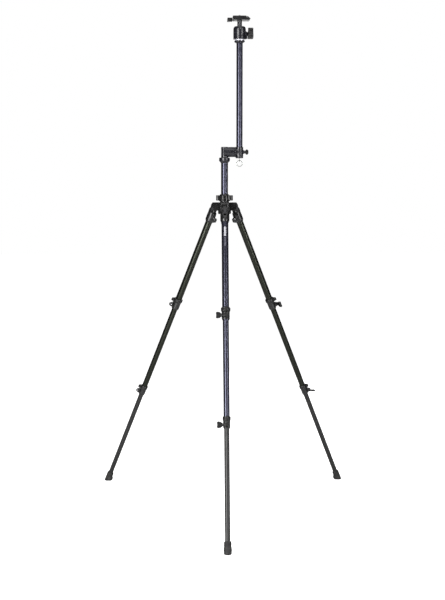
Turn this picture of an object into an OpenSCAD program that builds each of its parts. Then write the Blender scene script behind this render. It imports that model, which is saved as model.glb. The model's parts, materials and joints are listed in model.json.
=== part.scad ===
// Camera tripod: three telescopic legs, centre column, swivelling side arm, second mast and ball head.
// Millimetres, +Z up, floor at Z = 0, the front leg points along -Y.

/* [Legs] */
// Leg splay, measured from the vertical (degrees)
splay = 24.31; // [22:0.01:26]
// Distance of each leg hinge from the column axis
hinge_r = 44.07; // [42:0.01:46]
// Length of a leg from its hinge to the floor, along the leg
leg_len = 1224.1; // [1200:0.1:1260]
// Outer diameter of the upper leg tube
upper_d = 25; // [24.5:0.1:25.5]
// Outer diameter of the middle leg tube
middle_d = 21.5; // [21:0.1:21.6]
// Outer diameter of the lower leg tube
lower_d = 18; // [17.5:0.1:18.2]
// Distance along the leg from its hinge to the middle of the upper lock
lock_a = 403; // [390:1:415]
// Distance along the leg from its hinge to the middle of the lower lock
lock_b = 790; // [780:1:800]
// Turn of each leg's upper wing screw: front, right, left (degrees)
wing_turn_a = [0, 0, 70]; // [-180:1:180]
// Turn of each leg's lower wing screw: front, right, left (degrees)
wing_turn_b = [0, -62, 55]; // [-180:1:180]

/* [Column] */
// Outer diameter of the centre column tube
column_d = 25.8; // [25.6:0.1:26]
// Height of the top face of the column's flange
flange_z = 1302; // [1298:1:1308]
// Length of the centre column tube
column_len = 234; // [225:1:240]
// Reach of the clamp nut's lobes from the column axis
nut_reach = 32; // [30:0.5:34]

/* [Arm and mast] */
// Height of the arm's barrel axis
barrel_z = 1322.5; // [1321:0.5:1324]
// Radius of the arm's barrel
barrel_r = 18.5; // [17.5:0.1:19]
// Distance of the mast axis from the column axis
mast_x = 54.75; // [54:0.05:56]
// Outer diameter of the mast tube
mast_d = 23; // [22.5:0.1:23.2]
// Height of the mast tube's lower end
mast_z0 = 1301; // [1300:0.5:1302]
// Height of the mast flange's top face
mast_z1 = 1722.3; // [1700:0.1:1760]
// Outer diameter of the hook ring
ring_d = 23.6; // [22:0.1:25]

/* [Head] */
// Outer diameter of the head's body
head_d = 45.8; // [44:0.1:46]
// Diameter of the ball
ball_d = 33; // [32:0.1:33]
// Width of the quick plate across the front view
plate_w = 52; // [50:0.5:53]
// Depth of the quick plate, front to back
plate_deep = 42; // [38:0.5:46]
// Radius of the camera screw, 1/4 inch
screw_r = 3.175; // [3.1:0.005:3.2]

/* [Hidden] */
$fn = 64;
eps = 0.01;
running = 0.05;
azimuths = [-90, 30, 150];
hinge_z = leg_len * cos(splay);
foot_reach = hinge_r + leg_len * sin(splay);
axis_y = foot_reach / 4;

eye_r = 8;
cheek_in = 10.2;
cheek_out = 15;
bolt_r = 3;
hub_r = 24;
hub_z0 = hinge_z - 20.5;
spider_z = hinge_z + 22.5;
boss_r = 17;
boss_z = spider_z + 20;
bush_r = 15.5;

seat_s = 36;
socket_s = 55;
socket_r = 16.75;
lug_reach = 25;
lug_half = 6;
lug_s = 40.5;
wall = 1.2;
middle_s = 372;
lower_s = 757;
guide_len = 12;
foot_s = 1184;
tube_end_s = 1210;
tube_end_a = lock_a - 5;
tube_end_b = lock_b - 4;
screw_a = lock_a + 11;
screw_b = lock_b + 12;
screw_x_a = 20.5;
screw_x_b = 19;
clamp_shaft_r = 2.5;

column_r = column_d / 2;
column_z1 = flange_z - 5;
column_z0 = column_z1 - column_len;
nut_z0 = spider_z + 4.3;
nut_z1 = spider_z + 30;

mast_r = mast_d / 2;
joint_x = 37.2;
joint_gap = 0.3;
disc_x = joint_x + joint_gap;
pivot_r = 5;
sleeve_r = 14.2;
sleeve_z0 = barrel_z - 22.5;
sleeve_z1 = barrel_z + 18.5;
wire_r = 1.2;
ring_r = ring_d / 2 - wire_r;
ring_top_z = mast_z0 - 9.6;

head_z = mast_z1 + 5.4;
head_r = head_d / 2;
ball_r = ball_d / 2;
ball_z = head_z + 30;
rim_z = head_z + 45.3;
knob_z = head_z + 19.1;
stud_r = 4.7;
stud_h = 12.7;
deck_z = head_z + 73.7;
plate_z = deck_z + 8.2;
screw_neck_r = 2.9;
lever_x = -21.5;
lever_y = -15;
lever_turn_r = 3.9;

// Frames: on the column axis, on the mast axis, and along leg i (the leg runs down local -Z from its hinge)
module on_column() {
  translate([0, axis_y, 0]) children();
}

module on_mast() {
  translate([mast_x, axis_y, 0]) children();
}

module on_leg(i) {
  on_column() rotate([0, 0, azimuths[i]]) translate([hinge_r, 0, hinge_z])
    rotate([0, -splay, 0]) children();
}

// A ring of revolution whose outline is given as [radius, distance down the leg]
module turned_down(outline) {
  rotate_extrude() polygon([for (p = outline) [p[0], -p[1]]]);
}

// A cylinder along X or Y, from a to b
module rod_x(r, a, b) {
  translate([a, 0, 0]) rotate([0, 90, 0]) cylinder(r = r, h = b - a);
}

module rod_y(r, a, b) {
  translate([0, b, 0]) rotate([90, 0, 0]) cylinder(r = r, h = b - a);
}

// A box between two corners
module block(a, b) {
  translate(a) cube([b[0] - a[0], b[1] - a[1], b[2] - a[2]]);
}

// A plate with round corners, drawn in XY, of size w by d, from z0 to z1
module round_plate(w, d, r, z0, z1) {
  translate([0, 0, z0]) linear_extrude(z1 - z0) union() {
    square([w - 2 * r, d], center = true);
    square([w, d - 2 * r], center = true);
    for (sx = [-1, 1], sy = [-1, 1])
      translate([sx * (w / 2 - r), sy * (d / 2 - r)]) circle(r);
  }
}

// Spider casting
module spider_arm() {
  difference() {
    rotate([90, 0, 0]) linear_extrude(2 * cheek_out, center = true) union() {
      translate([hinge_r, hinge_z]) circle(eye_r);
      polygon([[0, hinge_z - eye_r], [hinge_r, hinge_z - eye_r], [hinge_r + eye_r, hinge_z],
        [hinge_r + 5.5, spider_z - 9], [hinge_r - 1, spider_z], [0, spider_z]]);
    }
    block([hinge_r - 11, -cheek_in, hub_z0], [hinge_r + 20, cheek_in, hinge_z + 12]);
    block([hinge_r + 2, -cheek_in, hinge_z], [hinge_r + 20, cheek_in, spider_z + 1]);
    translate([hinge_r, 0, hinge_z]) rod_y(bolt_r, -cheek_out - 1, cheek_out + 1);
  }
}

module spider() {
  color([0.10, 0.10, 0.10]) on_column() difference() {
    union() {
      translate([0, 0, hub_z0]) cylinder(r = hub_r, h = spider_z - hub_z0);
      translate([0, 0, spider_z - eps]) cylinder(r = boss_r, h = boss_z - spider_z + eps);
      for (a = azimuths) rotate([0, 0, a]) spider_arm();
    }
    translate([0, 0, hub_z0 - 1]) cylinder(r = bush_r, h = boss_z - hub_z0 + 2);
  }
}

module hinge_bolts() {
  head_h = 2.4;
  color([0.55, 0.55, 0.57]) on_column() for (a = azimuths)
    rotate([0, 0, a]) translate([hinge_r, 0, hinge_z]) {
      rod_y(bolt_r, -cheek_out - eps, cheek_out + eps);
      for (s = [-1, 1]) translate([0, s * (cheek_out + head_h / 2), 0])
        rod_y(5.2, -head_h / 2, head_h / 2);
    }
}

module column_bush() {
  color([0.05, 0.05, 0.05]) on_column() translate([0, 0, hub_z0]) difference() {
    cylinder(r = bush_r, h = boss_z - hub_z0);
    translate([0, 0, -1]) cylinder(r = column_r + running, h = boss_z - hub_z0 + 2);
  }
}

// Leg pieces, drawn in the leg's frame
module socket(i) {
  knuckle_r = 10.6;
  knuckle = [for (a = [-60:10:60]) [knuckle_r * sin(a), knuckle_r * cos(a)]];
  color([0.11, 0.11, 0.11]) on_leg(i) difference() {
    union() {
      rotate([90, 0, 0]) linear_extrude(2 * cheek_in - 1, center = true)
        polygon(concat([[-9, -20], [-9.2, 0]], knuckle,
          [[12, 0], [14.2, -5], [14.6, -12], [13.2, -24]]));
      turned_down([[0, 8], [8.5, 8], [11, 12], [13.2, 22], [15.4, 33], [socket_r, 43], [socket_r, 49],
        [13.6, socket_s], [0, socket_s]]);
      block([-lug_reach + 3, -lug_half, -lug_s - 9], [-12, lug_half, -lug_s + 9]);
      intersection() {
        translate([0, 0, -lug_s]) rod_x(9, -lug_reach, -lug_reach + 4);
        block([-lug_reach, -lug_half, -lug_s - 9], [0, lug_half, -lug_s + 9]);
      }
    }
    turned_down([[0, seat_s], [upper_d / 2, seat_s], [upper_d / 2, socket_s + 5], [0, socket_s + 5]]);
    rod_y(bolt_r + running, -cheek_in, cheek_in);
    block([8.3, -5.3, -33], [socket_r + 5, 5.3, 13]);
    translate([-lug_reach + 4.8, 0, -lug_s]) rod_y(2.5, -20, 20);
    block([-lug_reach - 1, -0.6, -lug_s - 12], [-upper_d / 2 + 0.4, 0.6, -lug_s + 4]);
  }
}

module pinch_bolt(i) {
  color([0.6, 0.6, 0.62]) on_leg(i) translate([-lug_reach + 4.8, 0, -lug_s]) {
    rod_y(2.5, -lug_half - eps, lug_half + eps);
    rod_y(4.1, -lug_half - 3.4, -lug_half);
    translate([0, lug_half + 3, 0]) rotate([90, 0, 0]) cylinder(r = 4.2, h = 3, $fn = 6);
  }
}

module stop_tab(i) {
  color([0.62, 0.62, 0.64]) on_leg(i) {
    block([8.6, -5, -26], [11.6, 5, -5]);
    block([11.6 - eps, -5, -26], [16.2, 5, -21]);
  }
}

module leg_tube(i, d, inner_d, from_s, to_s, guide_d) {
  on_leg(i) turned_down([[inner_d / 2, from_s], [guide_d / 2, from_s],
    [guide_d / 2, from_s + guide_len], [d / 2, from_s + guide_len], [d / 2, to_s], [inner_d / 2, to_s]]);
}

module upper_tube(i) {
  color([0.13, 0.13, 0.17]) leg_tube(i, upper_d, upper_d - 2 * wall, seat_s, tube_end_a, upper_d);
}

module middle_tube(i) {
  color([0.14, 0.14, 0.17])
    leg_tube(i, middle_d, middle_d - 2.2, middle_s, tube_end_b, upper_d - 2 * wall - 2 * running);
}

module lower_tube(i) {
  color([0.2, 0.2, 0.2])
    leg_tube(i, lower_d, lower_d - 2, lower_s, tube_end_s, middle_d - 2.2 - 2 * running);
}

// A tube lock: collar pressed on the outer tube, split clamp with two ears around the inner one
module lock(i, s0, s1, outer_r, inner_r, seat, flange_r, clamp_r, screw_x, screw_s, ear_w) {
  ear_x = screw_x + 6.5;
  color([0.07, 0.07, 0.07]) on_leg(i) difference() {
    union() {
      turned_down([[0, s0], [flange_r - 1.2, s0], [flange_r, s0 + 2], [flange_r, s0 + 10],
        [clamp_r + 0.6, s0 + 14], [clamp_r, s0 + 16], [clamp_r, s1 - 5], [clamp_r - 1.2, s1], [0, s1]]);
      block([flange_r - 4, -6.5, -s0 - 18], [flange_r + 9, 6.5, -s0 - 7]);
      block([clamp_r - 4, -ear_w, -screw_s - 7], [screw_x, ear_w, -screw_s + 7]);
      translate([screw_x, 0, -screw_s]) rod_y(6.5, -ear_w, ear_w);
      block([screw_x, -ear_w, -screw_s - 5], [ear_x - 1, ear_w, -screw_s + 5]);
    }
    turned_down([[0, s0 - 5], [outer_r, s0 - 5], [outer_r, seat], [inner_r + running, seat],
      [inner_r + running, s1 + 5], [0, s1 + 5]]);
    block([inner_r - 1, -0.9, -s1 - 2], [ear_x + 5, 0.9, -s0 - 21]);
    translate([screw_x, 0, -screw_s]) rod_y(clamp_shaft_r + running, -ear_w - 1, ear_w - 1.5);
  }
}

module upper_lock(i) {
  lock(i, lock_a - 22, lock_a + 22, upper_d / 2, middle_d / 2, tube_end_a, 17, 14.2,
    screw_x_a, screw_a, 9);
}

module lower_lock(i) {
  lock(i, lock_b - 19, lock_b + 21, middle_d / 2, lower_d / 2, tube_end_b, 14, 12.2,
    screw_x_b, screw_b, 8);
}

// Wing screw of a lock: shaft across the ears, neck and a flat flared wing
module lock_wing(i, screw_x, screw_s, ear_w, turn) {
  wing_len = 26;
  color([0.06, 0.06, 0.06]) on_leg(i) translate([screw_x, 0, -screw_s]) rotate([0, turn, 0]) {
    rod_y(clamp_shaft_r, -ear_w - 1, ear_w - 2);
    rod_y(4, -ear_w - 6, -ear_w - joint_gap);
    rotate([90, 0, 90]) linear_extrude(6.5, center = true) union() {
      polygon([[-ear_w - 4, -3.5], [-ear_w - 4, 3.5], [-ear_w - 10, 8], [-ear_w - 13, 10.5],
        [-ear_w - wing_len + 3, 11.5], [-ear_w - wing_len, 9], [-ear_w - wing_len, -9],
        [-ear_w - wing_len + 3, -11.5], [-ear_w - 13, -10.5], [-ear_w - 10, -8]]);
    }
  }
}

module upper_wing(i) {
  lock_wing(i, screw_x_a, screw_a, 9, wing_turn_a[i]);
}

module lower_wing(i) {
  lock_wing(i, screw_x_b, screw_b, 8, wing_turn_b[i]);
}

module foot(i) {
  color([0.05, 0.05, 0.05]) difference() {
    on_leg(i) difference() {
      union() {
        turned_down([[0, foot_s], [10.6, foot_s], [12.4, foot_s + 3], [13, foot_s + 10],
          [13, leg_len + 12], [0, leg_len + 12]]);
        translate([-3.5, 0, -leg_len + 13]) sphere(r = 14);
      }
      turned_down([[0, foot_s - 5], [lower_d / 2, foot_s - 5], [lower_d / 2, tube_end_s], [0, tube_end_s]]);
    }
    translate([-1000, -1000, -100]) cube([2000, 2000, 100]);
  }
}

module badge() {
  half = 4;
  color([0.8, 0.8, 0.83]) on_leg(0) intersection() {
    turned_down([[upper_d / 2, 76], [upper_d / 2 + 0.5, 76], [upper_d / 2 + 0.5, 112], [upper_d / 2, 112]]);
    block([0, -half, -114], [upper_d, half, -74]);
  }
}

// Column pieces
module collar_nut() {
  lobe_r = 7;
  color([0.07, 0.07, 0.07]) on_column() difference() {
    union() {
      translate([0, 0, nut_z0]) cylinder(r = 20.8, h = nut_z1 - 6 - nut_z0);
      rotate_extrude() polygon([[0, nut_z1 - 7], [20.8, nut_z1 - 7], [17.5, nut_z1 - 2], [16, nut_z1],
        [0, nut_z1]]);
      for (a = [15:60:345]) rotate([0, 0, a]) {
        translate([nut_reach - lobe_r, 0, nut_z0 + 2.5]) cylinder(r = lobe_r, h = 19.5);
        block([15, -lobe_r + 1.5, nut_z0 + 2.5], [nut_reach - lobe_r, lobe_r - 1.5, nut_z0 + 22]);
      }
    }
    translate([0, 0, nut_z0 - 1]) cylinder(r = boss_r + running, h = boss_z + 1.3 - nut_z0);
    translate([0, 0, nut_z0 - 1]) cylinder(r = column_r + 0.3, h = 40);
  }
}

module column_tube() {
  color([0.12, 0.12, 0.16]) on_column() translate([0, 0, column_z0]) difference() {
    cylinder(r = column_r, h = column_len);
    translate([0, 0, -1]) cylinder(r = column_r - 1.7, h = column_len + 2);
  }
}

module column_flange() {
  color([0.09, 0.09, 0.09]) on_column() rotate_extrude() polygon([[0, column_z1], [column_r, column_z1],
    [column_r, flange_z - 20], [13.6, flange_z - 20], [14.8, flange_z - 17.5], [18.6, flange_z - 14],
    [20, flange_z - 11.5], [20, flange_z - 1.6], [18.8, flange_z], [0, flange_z]]);
}

module column_plug() {
  color([0.05, 0.05, 0.05]) on_column() rotate_extrude() polygon([[0, column_z0 - 5], [11.5, column_z0 - 5],
    [column_r, column_z0 - 3.6], [column_r, column_z0], [column_r - 1.7, column_z0],
    [column_r - 1.7, column_z0 + 10], [0, column_z0 + 10]]);
}

// Arm pieces
module arm_block() {
  color([0.10, 0.10, 0.10]) on_column() difference() {
    union() {
      translate([0, 0, flange_z + joint_gap]) cylinder(r = 12.7, h = barrel_z + 18.5 - flange_z - joint_gap);
      translate([0, 0, barrel_z]) rod_x(barrel_r, -4, joint_x);
    }
    translate([0, 0, barrel_z]) rod_x(pivot_r + running, 14, joint_x + 1);
    translate([20, 0, barrel_z]) rod_y(3, -barrel_r - 1, -13);
  }
}

module arm_screw() {
  color([0.7, 0.7, 0.72]) on_column() translate([20, 0, barrel_z]) difference() {
    rod_y(3, -barrel_r - 0.4, -13);
    translate([0, -barrel_r - 0.5, 0]) rotate([-90, 0, 0]) cylinder(r = 1.6, h = 2, $fn = 6);
  }
}

module tube_clamp() {
  color([0.10, 0.10, 0.10]) on_column() difference() {
    union() {
      translate([0, 0, barrel_z]) rod_x(barrel_r, disc_x, disc_x + 3.8);
      translate([0, 0, barrel_z]) rod_x(14, disc_x + 3, mast_x);
      translate([mast_x, 0, sleeve_z0]) cylinder(r = sleeve_r, h = sleeve_z1 - sleeve_z0);
      translate([0, 0, barrel_z]) rod_x(7, mast_x, mast_x + 19.5);
    }
    translate([mast_x, 0, sleeve_z0 - 1])
      cylinder(r = mast_r + running, h = sleeve_z1 - sleeve_z0 + 2);
    translate([0, 0, barrel_z]) rod_x(pivot_r, disc_x - 1, disc_x + 3);
    translate([0, 0, barrel_z]) rod_x(3.05, mast_x, mast_x + 25);
  }
}

module pivot_bolt() {
  color([0.65, 0.65, 0.67]) on_column() translate([0, 0, barrel_z]) rod_x(pivot_r, 14.3, disc_x + 3);
}

module thumbscrew() {
  stem_x = mast_x + 19.5 + joint_gap;
  color([0.07, 0.07, 0.07]) on_column() translate([0, 0, barrel_z]) {
    rod_x(3, mast_x + mast_r + 0.4, stem_x + 0.1);
    rod_x(4.2, stem_x, stem_x + 5);
    rotate([90, 0, 0]) linear_extrude(7, center = true) polygon([[stem_x + 1, -3.4], [stem_x + 3, -7.6],
      [stem_x + 7, -10], [stem_x + 10.6, -8.6], [stem_x + 13.6, -4.4], [stem_x + 13.6, 4.4],
      [stem_x + 10.6, 8.6], [stem_x + 7, 10], [stem_x + 3, 7.6], [stem_x + 1, 3.4]]);
  }
}

// Mast pieces
module mast_tube() {
  color([0.12, 0.12, 0.16]) on_mast() translate([0, 0, mast_z0]) difference() {
    cylinder(r = mast_r, h = mast_z1 - 5 - mast_z0);
    translate([0, 0, -1]) cylinder(r = mast_r - 1.5, h = mast_z1 - 3 - mast_z0);
  }
}

module mast_flange() {
  color([0.10, 0.10, 0.10]) on_mast() difference() {
    rotate_extrude() polygon([[0, mast_z1 - 5], [mast_r, mast_z1 - 5], [mast_r, mast_z1 - 8],
      [12.3, mast_z1 - 8], [17.6, mast_z1 - 4.6], [19.25, mast_z1 - 2.8], [19.25, mast_z1 - 0.5],
      [18.75, mast_z1], [0, mast_z1]]);
    translate([0, 0, mast_z1 - 6]) cylinder(r = stud_r, h = 8);
  }
}

module mast_plug() {
  eye_wire = 1.1;
  color([0.05, 0.05, 0.05]) on_mast() {
    rotate_extrude() polygon([[0, mast_z0 - 0.8], [10.8, mast_z0 - 0.8], [mast_r, mast_z0 - 0.2],
      [mast_r, mast_z0], [mast_r - 1.5, mast_z0], [mast_r - 1.5, mast_z0 + 9], [0, mast_z0 + 9]]);
    translate([0, 0, mast_z0 - 6.4]) cylinder(r = eye_wire, h = 6.4);
    translate([0, 0, ring_top_z - 0.1]) rotate([0, 90, 0])
      rotate_extrude() translate([2.9, 0]) circle(eye_wire);
  }
}

module head_stud() {
  color([0.65, 0.65, 0.67]) on_mast() translate([0, 0, mast_z1 - 5]) cylinder(r = stud_r, h = 5 + stud_h);
}

module hook_ring() {
  color([0.85, 0.85, 0.87]) on_mast() translate([0, 0, ring_top_z - ring_r]) rotate([90, 0, 0])
    rotate_extrude() translate([ring_r, 0]) circle(wire_r);
}

// Head pieces
module head_base() {
  color([0.75, 0.75, 0.77]) on_mast() translate([0, 0, mast_z1 + joint_gap]) difference() {
    cylinder(r = 17.4, h = head_z - mast_z1 - joint_gap);
    translate([0, 0, -1]) cylinder(r = stud_r + running, h = 8);
  }
}

module head_body() {
  color([0.11, 0.11, 0.11]) on_mast() difference() {
    union() {
      rotate_extrude() polygon([[0, head_z], [22.2, head_z], [head_r, head_z + 0.8],
        [head_r, head_z + 36], [21.9, head_z + 40.5], [19.8, head_z + 44], [18, rim_z], [0, rim_z]]);
      translate([0, 0, knob_z]) rod_x(10, 15, 24);
      translate([24 - eps, 0, knob_z]) rotate([0, 90, 0]) cylinder(r1 = 10, r2 = 6.5, h = 5.6);
      block([15, -7, head_z + 1.5], [28.5, 7, knob_z - 1]);
    }
    translate([0, 0, ball_z]) sphere(r = ball_r + running);
    rotate_extrude() polygon([[0, ball_z + 4.5], [15.8, ball_z + 4.5], [16.8, rim_z + 1], [0, rim_z + 1]]);
    translate([0, 0, head_z - 1]) cylinder(r = stud_r + running, h = stud_h - 1);
    translate([0, 0, knob_z]) rod_x(5.05, 17, 40);
  }
}

module ball_knob() {
  face_x = 29.6 + joint_gap;
  color([0.06, 0.06, 0.06]) on_mast() translate([0, 0, knob_z]) {
    rod_x(5, 17.3, face_x + 1);
    rod_x(12, face_x, face_x + 18);
    for (a = [0, 120, 240]) rotate([a, 0, 0]) {
      translate([0, 0, 14.2]) rod_x(8.8, face_x + 0.8, face_x + 19.7);
      block([face_x + 0.8, -7, 4], [face_x + 19.7, 7, 14.2]);
    }
  }
}

module ball_stem() {
  color([0.45, 0.45, 0.47]) on_mast() {
    translate([0, 0, ball_z]) sphere(r = ball_r);
    translate([0, 0, ball_z + 10]) cylinder(r = 8.5, h = deck_z - 4.4 - ball_z - 10);
  }
}

module platform() {
  z0 = deck_z - 6.6;
  color([0.10, 0.10, 0.10]) on_mast() {
    difference() {
      rotate([90, 0, 0]) linear_extrude(40, center = true) polygon([[-23, z0], [33.2, z0],
        [39, z0 + 4.6], [28.6, deck_z + 6.4], [26.6, deck_z + 6.4], [25.9, deck_z + 3.4],
        [26.4, deck_z], [-25, deck_z], [-25, z0 + 2]]);
      block([-30, lever_y - 5, z0 + 1.6], [lever_x + 6, 21, deck_z - 1]);
      translate([0, 0, z0 - 1]) cylinder(r = 8.5, h = 3.2);
    }
    translate([lever_x, lever_y, z0 + 1.6 - eps]) cylinder(r = 2.5, h = deck_z - 1 - z0 - 1.6 + 2 * eps);
  }
}

module release_lever() {
  z0 = deck_z - 4.8;
  z1 = deck_z - 1.2;
  color([0.08, 0.08, 0.08]) on_mast() difference() {
    union() {
      translate([lever_x, lever_y, z0]) cylinder(r = lever_turn_r, h = z1 - z0);
      block([lever_x - lever_turn_r, lever_y, z0], [lever_x + 2, 17, z1]);
      translate([-35.8, 9.5, deck_z - 9.2]) round_plate(19, 15, 3, 0, 13.6);
      block([-27, 3, z0], [-22, 17, z1]);
    }
    translate([lever_x, lever_y, z0 - 1]) cylinder(r = 2.5 + running, h = 20);
    block([-25.6, 0, deck_z - 11], [0, 30, z0]);
    block([-25.6, 0, z1], [0, 30, deck_z + 6]);
  }
}

module quick_plate() {
  color([0.09, 0.09, 0.09]) on_mast() difference() {
    union() {
      rotate([90, 0, 0]) linear_extrude(plate_deep - 4, center = true) polygon([[-21, deck_z + 0.3],
        [25.9, deck_z + 0.3], [24.8, deck_z + 3.4], [-19, deck_z + 3.4]]);
      translate([-0.2, 0, 0]) round_plate(plate_w - 1.6, plate_deep - 2, 3, deck_z + 3.3, plate_z - 1.2);
    }
    translate([0, 0, deck_z - 1]) cylinder(r = 9, h = 3.6);
    translate([0, 0, deck_z - 1]) cylinder(r = screw_neck_r + 0.1, h = 20);
  }
}

module plate_pad() {
  color([0.16, 0.15, 0.14]) on_mast() difference() {
    translate([-0.2, 0, 0]) round_plate(plate_w - 3.6, plate_deep - 4, 2.5, plate_z - 1.2, plate_z);
    translate([0, 0, plate_z - 3]) cylinder(r = screw_r + 0.225, h = 5);
  }
}

module camera_screw() {
  color([0.75, 0.75, 0.77]) on_mast() {
    translate([0, 0, deck_z + 0.4]) cylinder(r = 8.5, h = 2);
    translate([0, 0, deck_z + 2]) cylinder(r = screw_neck_r, h = plate_z - deck_z - 2);
    translate([0, 0, plate_z]) cylinder(r = screw_r, h = 4.5);
  }
}

spider();
hinge_bolts();
column_bush();
socket(0);  // front_socket
socket(1);  // right_socket
socket(2);  // left_socket
pinch_bolt(0);  // front_pinch_bolt
pinch_bolt(1);  // right_pinch_bolt
pinch_bolt(2);  // left_pinch_bolt
stop_tab(0);  // front_stop_tab
stop_tab(1);  // right_stop_tab
stop_tab(2);  // left_stop_tab
upper_tube(0);  // front_upper_tube
upper_tube(1);  // right_upper_tube
upper_tube(2);  // left_upper_tube
upper_lock(0);  // front_upper_lock
upper_lock(1);  // right_upper_lock
upper_lock(2);  // left_upper_lock
upper_wing(0);  // front_upper_wing
upper_wing(1);  // right_upper_wing
upper_wing(2);  // left_upper_wing
middle_tube(0);  // front_middle_tube
middle_tube(1);  // right_middle_tube
middle_tube(2);  // left_middle_tube
lower_lock(0);  // front_lower_lock
lower_lock(1);  // right_lower_lock
lower_lock(2);  // left_lower_lock
lower_wing(0);  // front_lower_wing
lower_wing(1);  // right_lower_wing
lower_wing(2);  // left_lower_wing
lower_tube(0);  // front_lower_tube
lower_tube(1);  // right_lower_tube
lower_tube(2);  // left_lower_tube
foot(0);  // front_foot
foot(1);  // right_foot
foot(2);  // left_foot
badge();
collar_nut();
column_tube();
column_flange();
column_plug();
arm_block();
arm_screw();
tube_clamp();
pivot_bolt();
thumbscrew();
mast_tube();
mast_flange();
mast_plug();
head_stud();
hook_ring();
head_body();
head_base();
ball_knob();
ball_stem();
platform();
release_lever();
quick_plate();
plate_pad();
camera_screw();
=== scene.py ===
"""Looks of a camera tripod with a side arm, a second mast and a ball head.

Each operator makes one piece, or one group of like pieces, and the last one makes the stage. Outlines are
in millimetres, in the piece's own frame: pieces on a leg are drawn with their hinge at the origin and the
leg running down -Z, pieces on the column or the mast with that axis at X = 0, Y = 0 and the floor at Z = 0.
"""

import json
import math

import bpy
from bpy.props import FloatProperty, FloatVectorProperty, IntProperty, PointerProperty
from mathutils import Matrix, Vector


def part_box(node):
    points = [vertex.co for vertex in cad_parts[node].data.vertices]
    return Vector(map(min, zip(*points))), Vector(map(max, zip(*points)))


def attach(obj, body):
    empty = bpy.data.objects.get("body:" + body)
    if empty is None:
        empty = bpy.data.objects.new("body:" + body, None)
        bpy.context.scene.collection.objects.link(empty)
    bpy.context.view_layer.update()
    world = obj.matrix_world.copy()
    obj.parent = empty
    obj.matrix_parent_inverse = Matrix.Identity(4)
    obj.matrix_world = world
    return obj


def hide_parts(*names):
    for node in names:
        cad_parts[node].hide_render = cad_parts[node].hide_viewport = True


bl_info = {
    "name": "Camera Tripod",
    "version": (1, 0, 0),
    "blender": (4, 5, 0),
    "location": "3D View > Sidebar > Tripod",
    "description": "Makes the pieces, finishes and stage of a camera tripod with a side arm",
    "category": "Add Mesh",
}

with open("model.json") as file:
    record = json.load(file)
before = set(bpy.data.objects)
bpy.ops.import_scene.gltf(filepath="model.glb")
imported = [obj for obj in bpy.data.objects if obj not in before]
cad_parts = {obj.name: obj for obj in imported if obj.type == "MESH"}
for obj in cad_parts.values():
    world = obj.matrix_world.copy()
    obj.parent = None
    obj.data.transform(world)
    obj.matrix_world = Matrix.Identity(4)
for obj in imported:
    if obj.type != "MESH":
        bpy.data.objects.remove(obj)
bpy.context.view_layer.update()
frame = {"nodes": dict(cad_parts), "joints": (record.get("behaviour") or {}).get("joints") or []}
MM = 0.001
LEGS = ("front", "right", "left")
SMOOTH_BELOW = math.radians(34)


# ---- where things are ----

def joint(name):
    return next(j for j in frame["joints"] if j["name"] == name)


def joint_point(name):
    return Vector(joint(name)["pos_m"])


def leg_place(leg):
    """The leg's frame: hinge at the origin, X outwards, Y across, the leg down -Z."""
    up = Vector(joint(leg + "_middle_slide")["axis"]).normalized()
    across = -Vector(joint(leg + "_fold")["axis"]).normalized()
    turn = Matrix((across.cross(up), across, up)).transposed()
    return Matrix.Translation(joint_point(leg + "_fold")) @ turn.to_4x4()


def axis_place(name):
    """A vertical axis through a joint's point, with the floor at Z = 0."""
    point = joint_point(name)
    return Matrix.Translation((point.x, point.y, 0))


COLUMN = axis_place("arm_pan")
MAST = axis_place("ring_swing")

# radii of the tubes, the ball and the camera screw, in mm
LEG_OUTER = {"upper": 12.5, "middle": 10.75, "lower": 9.0}
LEG_INNER = {"upper": 11.3, "middle": 9.65, "lower": 8.0}
COLUMN_RADIUS = 12.9
MAST_RADIUS = 11.5
BALL_RADIUS = 16.5
SCREW_RADIUS = 3.175

# each lock's screw: distance out from the tube, depth below the lock's top, half the width of the ears
LOCK_SCREWS = {"upper": (20.5, 33, 9), "lower": (19, 31, 8)}

PLATE_WIDTH = 50.4
LEVER_PIN = Matrix.Translation((-21.5 * MM, -15 * MM, 0))

# a slab is drawn upright; these lay it level, or stand it across X
LEVEL = Matrix(((1, 0, 0, 0), (0, 0, 1, 0), (0, 1, 0, 0), (0, 0, 0, 1)))
STANDING = Matrix(((0, 1, 0, 0), (0, 0, 1, 0), (1, 0, 0, 0), (0, 0, 0, 1)))


def span(node, place):
    """Lowest and highest corner of a CAD node in that frame, in millimetres."""
    back = place.inverted()
    points = [back @ v.co * 1000 for v in frame["nodes"][node].data.vertices]
    return Vector(map(min, *points)), Vector(map(max, *points))


def along(direction, at=(0, 0, 0)):
    """Turns a piece drawn round Z so that it lies along the direction, starting at a point in mm."""
    turn = Vector(direction).to_track_quat("Z", "Y").to_matrix().to_4x4()
    return Matrix.Translation(Vector(at) * MM) @ turn


# ---- modelling helpers ----

def only(piece):
    bpy.ops.object.select_all(action="DESELECT")
    piece.select_set(True)
    bpy.context.view_layer.objects.active = piece


def deleted(piece):
    only(piece)
    bpy.ops.object.delete()


def opened(piece):
    """Enters edit mode with everything selected."""
    only(piece)
    bpy.ops.object.mode_set(mode="EDIT")
    bpy.ops.mesh.select_all(action="SELECT")


def named(piece, name):
    piece.name = piece.data.name = name
    return piece


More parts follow.
